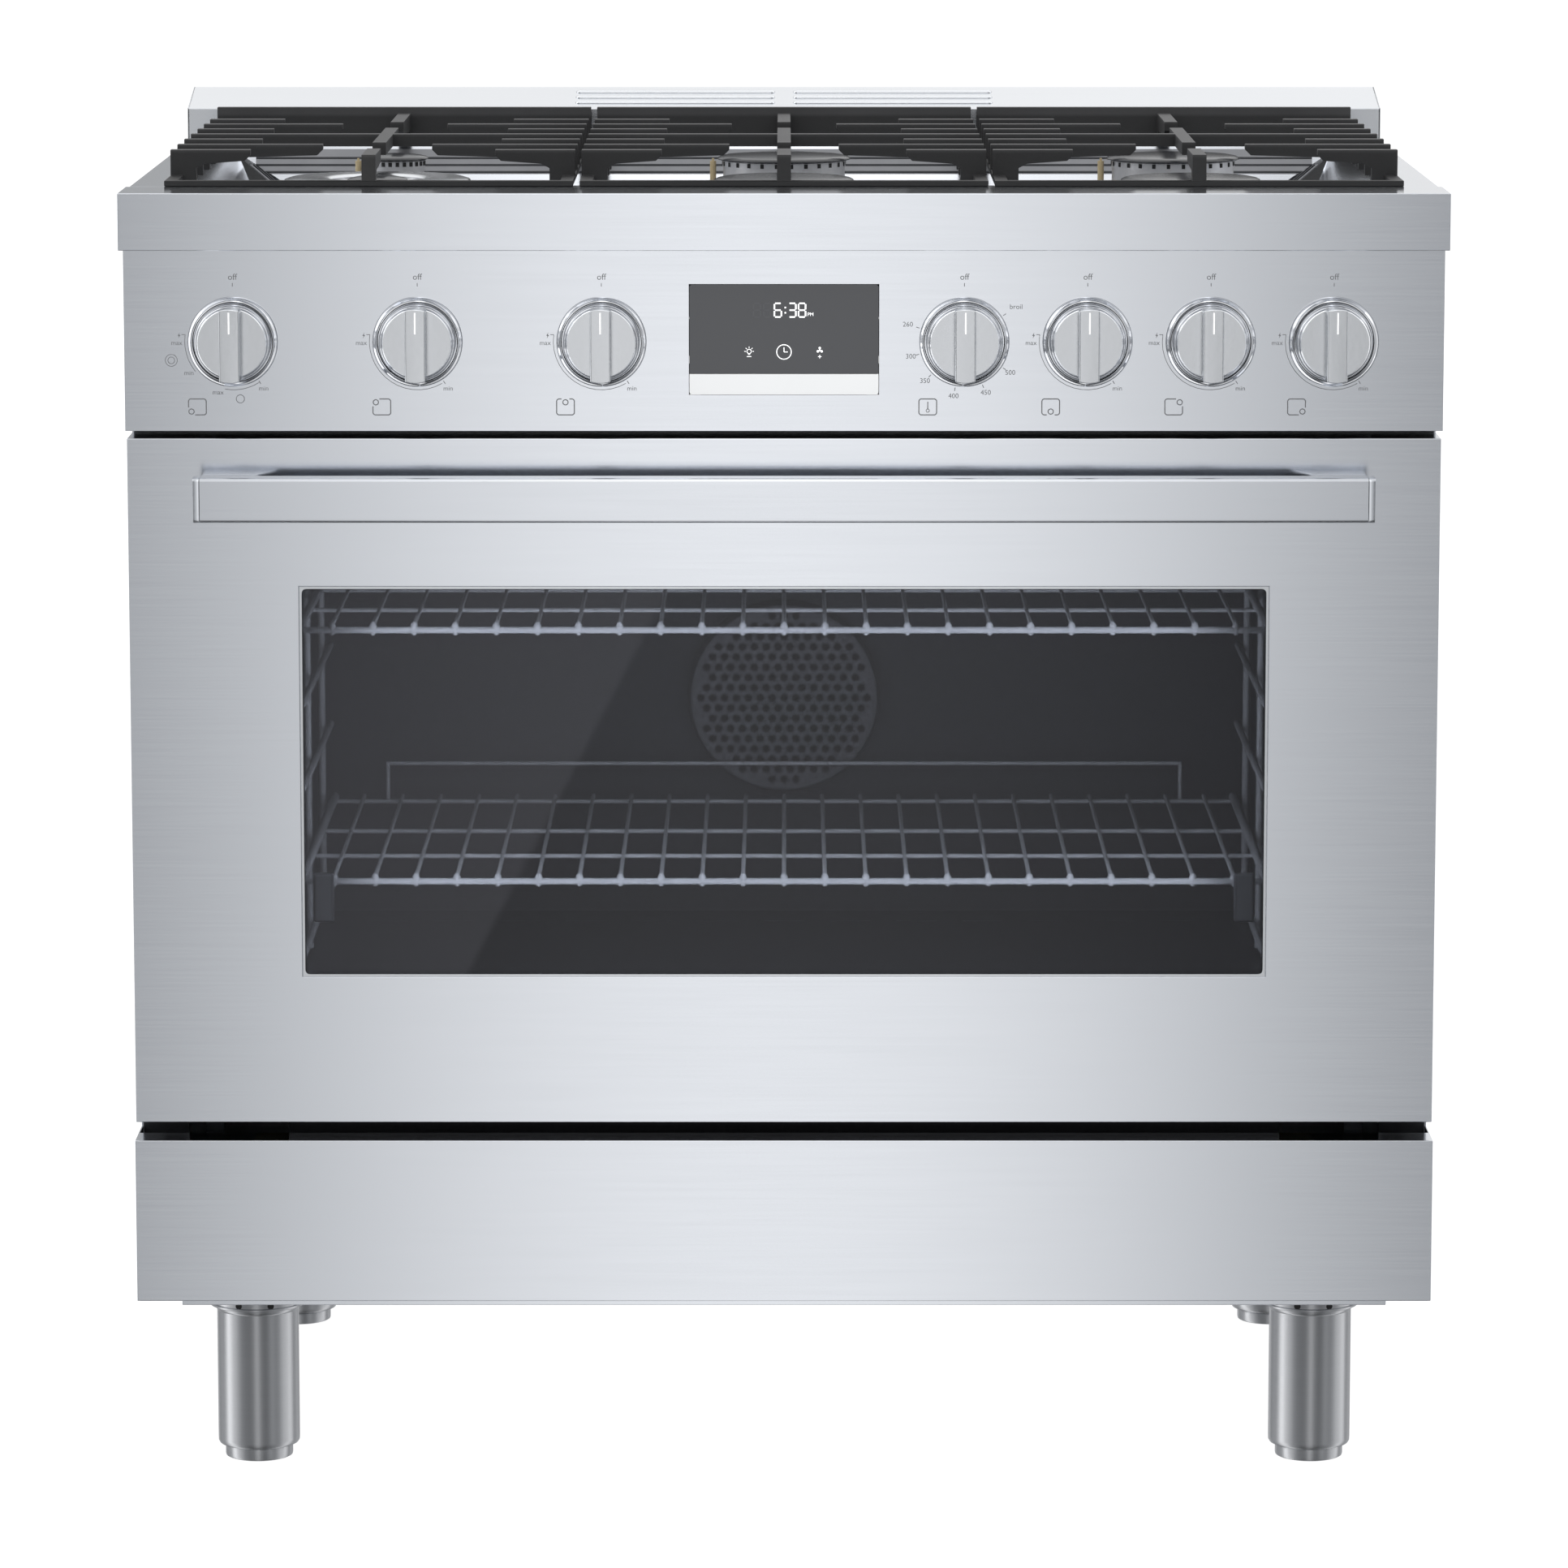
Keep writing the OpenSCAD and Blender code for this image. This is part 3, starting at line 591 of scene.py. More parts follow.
# %% [markdown]
# ## Knobs
#
# A knob is a turned disc with polished rings round a satin face, and a flat grip bar that stands on the face.
# The disc is one spun outline. The bar is a flat outline with curved ends, pulled outwards and bevelled, and a
# thin white line is set into its upper half. Knob and line ride on the knob's own body, so they turn with it.

# %% Knob finishes
knob_satin = speckled("knob_satin", (0.84, 0.86, 0.89), (0.88, 0.90, 0.93), 260.0, 0.24, 1.0)
white_line = speckled("white_line", (0.9, 0.9, 0.9), (0.94, 0.94, 0.94), 50.0, 0.4)

# %% Knob shapes, in millimetres from the panel face
KNOB_RINGS = [
    (0, 5), (25.6, 5), (26.3, 5.6), (26.4, 9.5), (26.1, 11.2), (25.3, 12.4),
    (24.9, 12.6), (24.7, 13.6), (24.2, 14.6), (23.6, 15.2),
]
KNOB_FACE = [(23.6, 15.2), (23.2, 15.5), (0, 15.5)]
BEZEL_RING = [
    (27.2, 0), (27.2, 4.6), (27.5, 5.2), (28.1, 5.6), (28.7, 5.4), (29.2, 4.6), (29.9, 4.1),
    (30.6, 3.4), (31.0, 2.2), (31.0, 0), (27.2, 0),
]
GRIP_HALF = 7.0
GRIP_RADIUS = 25.4
GRIP_LEVELS = (15.3, 38.0)
LINE_HALF = 0.55
LINE_SPAN = (8.5, 23.2)
END_STEPS = 6


def scaled(profile):
    return [(radius * MM, up * MM) for radius, up in profile]


def grip_outline():
    """A bar with ends that follow the rim of the knob."""
    reach = math.asin(GRIP_HALF / GRIP_RADIUS)
    angles = [-reach + 2 * reach * step / END_STEPS for step in range(END_STEPS + 1)]
    top = [(GRIP_RADIUS * math.sin(a), GRIP_RADIUS * math.cos(a)) for a in angles]
    bottom = [(-x, -y) for x, y in top]
    return [(x * MM, y * MM, GRIP_LEVELS[0] * MM) for x, y in top + bottom]


def make_knob(name, x):
    place = facing_front(x, PANEL_FACE, KNOB_Z)
    body = bmesh.new()
    add_lathe(body, scaled(KNOB_RINGS), place)
    place_piece(name + "_rings", body, name, chrome, (name,))
    face = bmesh.new()
    add_lathe(face, scaled(KNOB_FACE), place)
    grip = add_prism(face, grip_outline(), (0, 0, (GRIP_LEVELS[1] - GRIP_LEVELS[0]) * MM))
    bmesh.ops.transform(face, matrix=place, verts=grip)
    round_corners(face, 0.9 * MM, 3, 50, grip)
    place_piece(name + "_grip", face, name, knob_satin)
    line = bmesh.new()
    mark = add_block(
        line,
        (-LINE_HALF * MM, LINE_SPAN[0] * MM, (GRIP_LEVELS[1] - 0.5) * MM),
        (LINE_HALF * MM, LINE_SPAN[1] * MM, (GRIP_LEVELS[1] + 0.05) * MM),
    )
    bmesh.ops.transform(line, matrix=place, verts=mark)
    place_piece(name + "_line", line, name, white_line)


for knob_name, knob_x in zip(KNOBS, KNOB_X):
    make_knob(knob_name, knob_x)

# %% Bezels
bezels = bmesh.new()
for knob_x in KNOB_X:
    add_lathe(bezels, scaled(BEZEL_RING), facing_front(knob_x, PANEL_FACE, KNOB_Z))
place_piece("bezel_rings", bezels, "range_body", chrome, ("knob_bezels",))

# %% [markdown]
# ## Printed markings
#
# Each knob has the word off above it, and generic marks round it: least and most, or oven temperatures. Text is
# made as a font curve, turned into a mesh, and joined into one thin piece that lies on the panel. Lines, arcs
# and burner signs are small prisms in the same piece.

# %% Marking tools
ink = speckled("marking_ink", (0.13, 0.135, 0.14), (0.15, 0.155, 0.16), 60.0, 0.6)
INK_PROUD = 0.06 * MM
INK_DEPTH = 0.12 * MM


def add_text(shape, words, x, z, height, y=PANEL_FACE):
    """Adds raised letters that face the front, centred on a point."""
    font = bpy.data.curves.new("words", "FONT")
    font.body = words
    font.size = height
    font.align_x = font.align_y = "CENTER"
    font.extrude = INK_DEPTH / 2
    font.resolution_u = 3
    holder = bpy.data.objects.new("words", font)
    mesh = bpy.data.meshes.new_from_object(holder)
    mesh.transform(Matrix.Translation((x, y, z)) @ Matrix.Rotation(math.radians(90), 4, "X"))
    shape.from_mesh(mesh)
    bpy.data.objects.remove(holder)
    bpy.data.curves.remove(font)
    bpy.data.meshes.remove(mesh)


def add_stroke(shape, start, end, width, y=PANEL_FACE):
    """A straight printed line between two (x, z) points."""
    start, end = Vector(start), Vector(end)
    side = (end - start).orthogonal().normalized() * width / 2
    corners = [start + side, end + side, end - side, start - side]
    add_prism(shape, [(c.x, y - INK_PROUD, c.y) for c in corners], (0, INK_DEPTH, 0))


def add_ring(shape, x, z, radius, width, y=PANEL_FACE, first=0.0, last=360.0):
    """A printed arc; angles run clockwise from the top, in degrees."""
    steps = max(6, int(abs(last - first) / 9))
    turns = [math.radians(first + (last - first) * step / steps) for step in range(steps + 1)]
    spots = [(x + radius * math.sin(a), z + radius * math.cos(a)) for a in turns]
    for start, end in zip(spots, spots[1:]):
        add_stroke(shape, start, end, width, y)


# %% Markings round one knob
RING_GAP = 3.3 * MM
SIGN_DOWN, SIGN_LEFT = 45 * MM, 25 * MM
ARC_RADIUS = 33.2
ARC_WIDTH = 0.4 * MM
SPARK = [(0.5, 2.1), (-1.0, -0.2), (-0.1, -0.2), (-0.6, -2.1), (1.0, 0.4), (0.1, 0.4)]


def around(x, angle, radius):
    """A point at an angle clockwise from the top of a knob."""
    turn = math.radians(angle)
    return x + radius * MM * math.sin(turn), KNOB_Z + radius * MM * math.cos(turn)


def tick(shape, x, angle, inner=32.2, outer=34.6):
    add_stroke(shape, around(x, angle, inner), around(x, angle, outer), 0.5 * MM)


def word_at(shape, words, x, angle, radius, height=4.6):
    spot = around(x, angle, radius)
    add_text(shape, words, spot[0], spot[1], height * MM)


def square_sign(shape, x, z, ring=None):
    """A square outline with its corners cut, left open where the ring stands."""
    half_w, half_h, corner = 6.1 * MM, 5.5 * MM, 1.1 * MM
    corners = []
    for a, b in ((-1, -1), (1, -1), (1, 1), (-1, 1)):
        level_end = Vector((x + a * (half_w - corner), z + b * half_h))
        upright_end = Vector((x + a * half_w, z + b * (half_h - corner)))
        corners += [level_end, upright_end] if a * b < 0 else [upright_end, level_end]
    for start, end in zip(corners, corners[1:] + corners[:1]):
        steps = max(1, round((end - start).length / (0.8 * MM)))
        for step in range(steps):
            first, last = start.lerp(end, step / steps), start.lerp(end, (step + 1) / steps)
            if ring is None or (first.lerp(last, 0.5) - ring).length > RING_GAP:
                add_stroke(shape, first, last, 0.75 * MM)


def burner_sign(shape, x, z, place):
    """The cooktop as a square, with a ring where this burner is."""
    ring = Vector((x + place[0] * 4.1 * MM, z + place[1] * 3.2 * MM))
    square_sign(shape, x, z, ring)
    add_ring(shape, ring.x, ring.y, 1.8 * MM, 0.7 * MM)


def spark_sign(shape, x, angle, radius):
    """A small zigzag spark."""
    spot = around(x, angle, radius)
    outline = [(spot[0] + a * MM, PANEL_FACE - INK_PROUD, spot[1] + b * MM) for a, b in SPARK]
    add_prism(shape, outline, (0, INK_DEPTH, 0))


# Angle, word and distance from the axis
OVEN_MARKS = [
    (287, "260", 40.6), (254.5, "300", 38.2), (225, "350", 38.2), (191, "400", 38.2), (157, "450", 38.2),
    (124, "500", 38.2), (56, "broil", 42.9),
]
BURNER_PLACES = [(-1, -1), (-1, 1), (0, 1), None, (0, -1), (1, 1), (1, -1)]
markings = bmesh.new()
for number, x in enumerate(KNOB_X):
    word_at(markings, "off", x, 0, 44.5, 6.0)
    tick(markings, x, 0, 38.0, 40.4)
    sign_x, sign_z = x - SIGN_LEFT, KNOB_Z - SIGN_DOWN
    if number == OVEN_KNOB:
        for angle, words, reach in OVEN_MARKS:
            word_at(markings, words, x, angle, reach, 4.8)
            tick(markings, x, angle)
        square_sign(markings, sign_x, sign_z)
        add_ring(markings, sign_x, sign_z - 2.6 * MM, 1.1 * MM, 0.5 * MM)
        add_stroke(markings, (sign_x, sign_z - 1.6 * MM), (sign_x, sign_z + 3.6 * MM), 0.7 * MM)
        continue
    burner_sign(markings, sign_x, sign_z, BURNER_PLACES[number])
    spark_sign(markings, x, 276.6, 37.3)
    add_stroke(markings, around(x, 278.4, ARC_RADIUS), around(x, 277.9, 35.6), 0.45 * MM)
    word_at(markings, "max", x, 268.7, 38.8)
    if number == 0:
        add_ring(markings, x, KNOB_Z, ARC_RADIUS * MM, ARC_WIDTH, first=278.4, last=232)
        word_at(markings, "min", x, 234.8, 37.4)
        word_at(markings, "max", x, 197, 36.6)
        add_ring(markings, x, KNOB_Z, ARC_RADIUS * MM, ARC_WIDTH, first=190, last=148)
        for angle, reach, radius in ((253.2, 44.5, 2.3), (253.2, 44.5, 4.1), (173.3, 39.7, 2.8)):
            add_ring(markings, *around(x, angle, reach), radius * MM, 0.45 * MM)
    else:
        add_ring(markings, x, KNOB_Z, ARC_RADIUS * MM, ARC_WIDTH, first=278.4, last=150)
    tick(markings, x, 147)
    word_at(markings, "min", x, 147.2, 38.4)
place_piece("panel_markings", markings, "range_body", ink)

# %% [markdown]
# ## Display
#
# A dark glass plate with a clock, three touch signs and a plain light strip along its foot. The figures are
# seven-segment digits: each lit bar is a small prism, and the unlit ones are drawn in a grey that hardly shows.

# %% Display plate
display_low, display_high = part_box("display_glass")
STRIP_HEIGHT = 14.7 * MM
strip_paint = speckled("display_strip", (0.74, 0.75, 0.755), (0.78, 0.79, 0.795), 8.0, 0.22)
glow = Finish("display_glow", Base_Color=colour(0.9, 0.9, 0.9), Roughness=0.4)
glow.set("Emission Color", glow.mix(glow.noise(40.0), colour(0.95, 0.97, 1.0), colour(1.0, 1.0, 1.0)))
glow.set("Emission Strength", 0.75)
ghost = speckled("display_ghost", (0.066, 0.068, 0.073), (0.072, 0.074, 0.08), 30.0, 0.2)


def plate(name, low_z, high_z, material, replaces=()):
    """A plate with its outer corners rounded."""
    shape = bmesh.new()
    add_block(shape, (display_low.x, display_low.y, low_z), (display_high.x, display_high.y, high_z))
    outer = []
    for edge in shape.edges:
        first, last = (vert.co for vert in edge.verts)
        on_rim = min(abs(first.z - display_low.z), abs(first.z - display_high.z)) < 0.5 * MM
        if on_rim and abs(first.y - last.y) > MM:
            outer.append(edge)
    bmesh.ops.bevel(shape, geom=outer, offset=2 * MM, affect="EDGES", segments=5, profile=0.5, material=-1)
    round_corners(shape, 0.25 * MM, 2, 60)
    place_piece(name, shape, "range_body", material, replaces)


plate("display_plate", display_low.z + STRIP_HEIGHT, display_high.z, display_black, ("display_glass",))
plate("display_lower_strip", display_low.z, display_low.z + STRIP_HEIGHT - 0.3 * MM, strip_paint)

# %% Clock digits and touch signs
DIGIT_FACE = display_low.y
SEGMENTS = {"6": "acdefg", "3": "abcdg", "8": "abcdefg"}
digit_w, digit_h, bar = 4.8 * MM, 9.4 * MM, 1.0 * MM
clock_z = display_low.z + 58.4 * MM


def add_digit(shape, figure, x, z, lit=True):
    half_h, half_w = digit_h / 2, digit_w / 2
    ends = {
        "a": ((-half_w, half_h), (half_w, half_h)),
        "b": ((half_w, half_h), (half_w, 0)),
        "c": ((half_w, 0), (half_w, -half_h)),
        "d": ((-half_w, -half_h), (half_w, -half_h)),
        "e": ((-half_w, 0), (-half_w, -half_h)),
        "f": ((-half_w, half_h), (-half_w, 0)),
        "g": ((-half_w, 0), (half_w, 0)),
    }
    for name, (start, end) in ends.items():
        if (name in SEGMENTS[figure]) == lit:
            first, last = Vector(start), Vector(end)
            gap = (last - first).normalized() * 0.5 * MM
            first, last = first + gap, last - gap
            add_stroke(shape, (x + first.x, z + first.y), (x + last.x, z + last.y), bar, DIGIT_FACE)


lit_signs = bmesh.new()
add_digit(lit_signs, "6", -4.2 * MM, clock_z)
for dot in (-1.8, 1.8):
    dot_low, dot_high = (clock_z + dot * MM + half * MM for half in (-0.5, 0.5))
    add_stroke(lit_signs, (0.9 * MM, dot_low), (0.9 * MM, dot_high), bar, DIGIT_FACE)
add_digit(lit_signs, "3", 5.7 * MM, clock_z)
add_digit(lit_signs, "8", 12.4 * MM, clock_z)
add_text(lit_signs, "PM", 18.2 * MM, clock_z - 3.0 * MM, 3.4 * MM, DIGIT_FACE)
sign_z = display_low.z + 29.6 * MM
# Lamp, clock and fan signs
lamp = Vector((-24 * MM, sign_z + 0.4 * MM))
add_ring(lit_signs, lamp.x, lamp.y, 1.5 * MM, 0.4 * MM, DIGIT_FACE)
for down, half in ((-1.7, 0.7), (-3.2, 1.5)):
    z = sign_z + down * MM
    add_stroke(lit_signs, (lamp.x - half * MM, z), (lamp.x + half * MM, z), 0.45 * MM, DIGIT_FACE)
for ray in (-90, -45, 0, 45, 90):
    turn = math.radians(ray)
    near, far = (Vector((math.sin(turn), math.cos(turn))) * reach * MM for reach in (2.3, 3.3))
    add_stroke(lit_signs, lamp + near, lamp + far, 0.4 * MM, DIGIT_FACE)
add_ring(lit_signs, 0, sign_z, 5.0 * MM, 0.55 * MM, DIGIT_FACE)
add_stroke(lit_signs, (0, sign_z), (0, sign_z + 3.2 * MM), 0.5 * MM, DIGIT_FACE)
add_stroke(lit_signs, (0, sign_z), (2.6 * MM, sign_z), 0.5 * MM, DIGIT_FACE)
for blade in range(3):
    turn = math.radians(120 * blade)
    hub = Vector((24.6 * MM, sign_z + 1.2 * MM))
    tip = hub + Vector((1.5 * MM * math.sin(turn), 1.5 * MM * math.cos(turn)))
    add_stroke(lit_signs, hub, tip, 0.5 * MM, DIGIT_FACE)
    add_ring(lit_signs, tip.x, tip.y, 0.6 * MM, 0.45 * MM, DIGIT_FACE)
add_stroke(lit_signs, (23.4 * MM, sign_z - 3.2 * MM), (25.8 * MM, sign_z - 3.2 * MM), 0.4 * MM, DIGIT_FACE)
add_stroke(lit_signs, (24.6 * MM, sign_z - 4.4 * MM), (24.6 * MM, sign_z - 2 * MM), 0.4 * MM, DIGIT_FACE)
place_piece("display_figures", lit_signs, "range_body", glow.material)

unlit = bmesh.new()
for place in (-18.6, -11.6):
    add_digit(unlit, "8", place * MM, clock_z)
place_piece("display_unlit_figures", unlit, "range_body", ghost)

# %% [markdown]
# ## Cooktop
#
# Each burner is a ring of aluminium with slots under a domed enamel cap, and stands on a wide shallow dish. The
# rings are spun outlines. The slots are short dark blocks set round the rim, because a flame port is too small
# and too deep to show anything but darkness. The front left burner has two rings, so its cap is a ring too.

# %% Burner shapes
SLOT_COUNT = 26


def shift(x, y, z):
    return Matrix.Translation((x, y, z))


def ring_of_slots(shape, place, radius, low, high, count=SLOT_COUNT):
    for step in range(count):
        turn = Matrix.Rotation(math.tau * step / count, 4, "Z")
        near, far = radius - 0.5 * MM, radius + 0.35 * MM
        slot = add_block(shape, (near, -1.3 * MM, low * MM), (far, 1.3 * MM, high * MM))
        bmesh.ops.transform(shape, matrix=place @ turn, verts=slot)


def dome(radius):
    """The outline of a cap that is nearly flat in the middle."""
    return [
        (0, 0.0), (radius - 1.0, 0.0), (radius - 0.2, 0.3), (radius, 0.9), (radius - 0.4, 1.6),
        (radius - 2.2, 2.5), (radius - 6, 3.3), (radius * 0.55, 4.0), (0, 4.35),
    ]


def ring_cap(radius):
    return [
        (radius - 32, 0.0), (radius - 1.0, 0.0), (radius, 0.9), (radius - 0.5, 1.7), (radius - 5, 3.1),
        (radius - 16, 3.6), (radius - 27, 3.2), (radius - 31, 2.0), (radius - 32, 1.2), (radius - 32, 0.0),
    ]


def dish(radius):
    """The shallow dish under a head, measured up from the basin floor."""
    return [
        (0, 0.2), (radius + 7.6, 0.2), (radius + 8, 0.8), (radius + 7.6, 1.5), (radius + 4.5, 3.0),
        (radius + 1.4, 6.0), (radius + 0.8, 8.0), (0, 8.0),
    ]


def head(radius, height):
    """The outline of a burner head, measured up from the basin floor."""
    return [
        (0, 7.8), (radius - 0.2, 7.8), (radius - 0.6, height - 6), (radius, height - 5), (radius, height - 0.6),
        (radius - 0.6, height), (0, height),
    ]


TWO_RING_CAP, CENTRE_CAP, SIMMER_CAP, PLAIN_CAP = 66, 21.5, 25, 49.5
PIN_OUT, PIN_BACK = 3.2, 14
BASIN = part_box("burner_heads")[0].z + 11 * MM
HEAD_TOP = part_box("burner_caps")[0].z
head_height = (HEAD_TOP - BASIN) / MM
burner_columns = [middle(name).x for name in GRATES]
burner_rows = [FRONT + 178 * MM, FRONT + 415 * MM]
caps = bmesh.new()
ring = bmesh.new()
heads = bmesh.new()
dishes = bmesh.new()
slots = bmesh.new()
pins = bmesh.new()
for column, x in enumerate(burner_columns):
    for row, y in enumerate(burner_rows):
        two_ring = column == 0 and row == 0
        simmer = column == 0 and row == 1
        cap_radius = TWO_RING_CAP if two_ring else SIMMER_CAP if simmer else PLAIN_CAP
        head_radius = cap_radius - (3 if two_ring or simmer else 4)
        add_lathe(heads, scaled(head(head_radius, head_height)), shift(x, y, BASIN), 72)
        add_lathe(dishes, scaled(dish(head_radius)), shift(x, y, BASIN), 72)
        ring_of_slots(slots, shift(x, y, BASIN), head_radius * MM, head_height - 4.2, head_height - 1.0)
        if two_ring:
            add_lathe(ring, scaled(ring_cap(cap_radius)), shift(x, y, HEAD_TOP), 72)
        add_lathe(caps, scaled(dome(CENTRE_CAP if two_ring else cap_radius)), shift(x, y, HEAD_TOP), 72)
        pin_x, pin_y = x - (cap_radius + PIN_OUT) * MM, y + PIN_BACK * MM
        add_rod(pins, (pin_x, pin_y, BASIN), (pin_x, pin_y, HEAD_TOP - 2 * MM), 2.4 * MM, 14)
        add_rod(pins, (pin_x, pin_y, HEAD_TOP - 2 * MM), (pin_x, pin_y, HEAD_TOP), 0.9 * MM, 8)
place_piece("burner_rings", heads, "range_body", aluminium, ("burner_heads",))
place_piece("burner_dishes", dishes, "range_body", steel_trim)
# The slot blocks are painted shade in place of the flame ports
place_piece("burner_slots", slots, "range_body", hole_shade_black)
place_piece("burner_domes", caps, "range_body", enamel, ("burner_caps",))
place_piece("front_ring_cap", ring, "range_body", steel_trim)
place_piece("igniter_pins", pins, "range_body", ceramic, ("igniters",))

# %% [markdown]
# The back wall of the basin is pressed in three fine steps, and its rear corners are swept round like half a
# funnel. A thin darker grey sheet, painted shade, lies on the slope, and the shade under each step is painted
# as a thin dark rod along it; each corner is the hull round an arc on the floor and one point at the top.

# %% Basin steps and corners
BASIN_BACK = FRONT + 543 * MM
BASIN_HALF = 418 * MM
BASIN_SLOPE = 18 * MM
# Painted shade: dark rods for the shade under each step, and a darker grey sheet on the slope
step_shade_paint = speckled("step_shadow", (0.05, 0.052, 0.056), (0.08, 0.082, 0.088), 60.0, 0.4, 0.6)
slope_shade_paint = speckled("slope_painted_shade", (0.26, 0.265, 0.28), (0.32, 0.325, 0.34), 60.0, 0.35, 1.0)
SHEET_RISES = (0.3, 0.86)
STEP_RISES = (0.34, 0.5, 0.66)
slope_half = BASIN_HALF - BASIN_SLOPE


def on_slope(rise, proud):
    """The (y, z) of a point on the back wall, at a share of its height."""
    return BASIN_BACK - BASIN_SLOPE * (1 - rise) - proud, BASIN + (DECK - BASIN) * rise


slope = bmesh.new()
(low_y, low_z), (high_y, high_z) = (on_slope(rise, 0.4 * MM) for rise in SHEET_RISES)
low_edge = [(-slope_half, low_y, low_z), (slope_half, low_y, low_z)]
high_edge = [(slope_half, high_y, high_z), (-slope_half, high_y, high_z)]
add_prism(slope, low_edge + high_edge, (0, 0.35 * MM, 0))
place_piece("basin_slope", slope, "range_body", slope_shade_paint)
steps = bmesh.new()
for rise in STEP_RISES:
    y, z = on_slope(rise, 0.5 * MM)
    add_rod(steps, (-slope_half, y, z), (slope_half, y, z), 0.8 * MM, 8)
place_piece("basin_step_shadows", steps, "range_body", step_shade_paint)

CORNER_SWEEP = 27 * MM
basin_corners = bmesh.new()
for side in (-1, 1):
    wall_x, wall_y = side * slope_half, BASIN_BACK - BASIN_SLOPE
    points = [(wall_x, wall_y, BASIN), (side * (BASIN_HALF - 4 * MM), BASIN_BACK - 4 * MM, DECK - 7 * MM)]
    for step in range(13):
        turn = math.radians(90 * step / 12)
        inward, forward = CORNER_SWEEP * (1 - math.sin(turn)), CORNER_SWEEP * (1 - math.cos(turn))
        points.append((wall_x - side * inward, wall_y - forward, BASIN))
    made = [basin_corners.verts.new(point) for point in points]
    hull = bmesh.ops.convex_hull(basin_corners, input=made)
    inside = [v for v in hull["geom_interior"] if isinstance(v, bmesh.types.BMVert)]
    bmesh.ops.delete(basin_corners, geom=inside, context="VERTS")
place_piece("basin_corners", basin_corners, "range_body", chrome, (), math.radians(50))

# %% [markdown]
# ## Vent trim
#
# Six long louvres are pressed into the top of the trim, three on each side. Each is a low rounded rib that
# lies on the sloping top. A thin sheet closes each end of the folded trim.

# %% Louvres
louvre_steel = speckled("louvre_steel", (0.80, 0.82, 0.85), (0.84, 0.86, 0.89), 60.0, 0.24, 1.0)
LOUVRE_SPANS = [(-156, -10), (10, 156)]
LOUVRE_ROWS = [16.5, 31.5, 46.5]
RIB_RADIUS = 3.4 * MM
RIB_FLATNESS = 0.55
trim_low, trim_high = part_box("vent_trim")
TRIM_RISE = 13 * MM
louvres = bmesh.new()
for start, end in LOUVRE_SPANS:
    for back in LOUVRE_ROWS:
        y = trim_low.y + back * MM
        z = trim_high.z - TRIM_RISE * (1 - back * MM / (trim_high.y - trim_low.y)) - 0.4 * MM
        rib = add_rod(louvres, (start * MM, y, z), (end * MM, y, z), RIB_RADIUS, 24)
        for end_x in (start, end):
            ball = bmesh.ops.create_uvsphere(louvres, u_segments=16, v_segments=12, radius=RIB_RADIUS)["verts"]
            bmesh.ops.transform(louvres, matrix=shift(end_x * MM, y, z), verts=ball)
            rib += ball
        for vert in rib:
            vert.co.z = z + (vert.co.z - z) * RIB_FLATNESS
place_piece("vent_louvres", louvres, "range_body", louvre_steel)

# %% Closed ends
TRIM_SHEET = 1.2 * MM
trim_ends = bmesh.new()
trim_outline = [
    (trim_low.y, trim_low.z), (trim_high.y, trim_low.z),
    (trim_high.y, trim_high.z), (trim_low.y, trim_high.z - TRIM_RISE),
]
for start in (trim_low.x, trim_high.x - TRIM_SHEET):
    add_prism(trim_ends, [(start, y, z) for y, z in trim_outline], (TRIM_SHEET, 0, 0))
place_piece("trim_ends", trim_ends, "range_body", steel_trim)

# %% [markdown]
# ## Oven racks
#
# A rack is straight wires welded together. The wires that run front to back hook over the front wire, so each
# ends in a small bead. Rods with twelve sides and smooth shading are round enough at this size.

# %% Racks
RACK_PITCH = 28.9 * MM
STOP_HALF = 300 * MM
STOP_RISE = 27.5 * MM
CROSS_WIRES = (113, 227, 370)
BEAD_DROP = 2.4 * MM
BEAD_STRETCH = 1.7
rack_grey = speckled("rack_wire_bright", (0.40, 0.40, 0.395), (0.46, 0.46, 0.455), 90.0, 0.4)


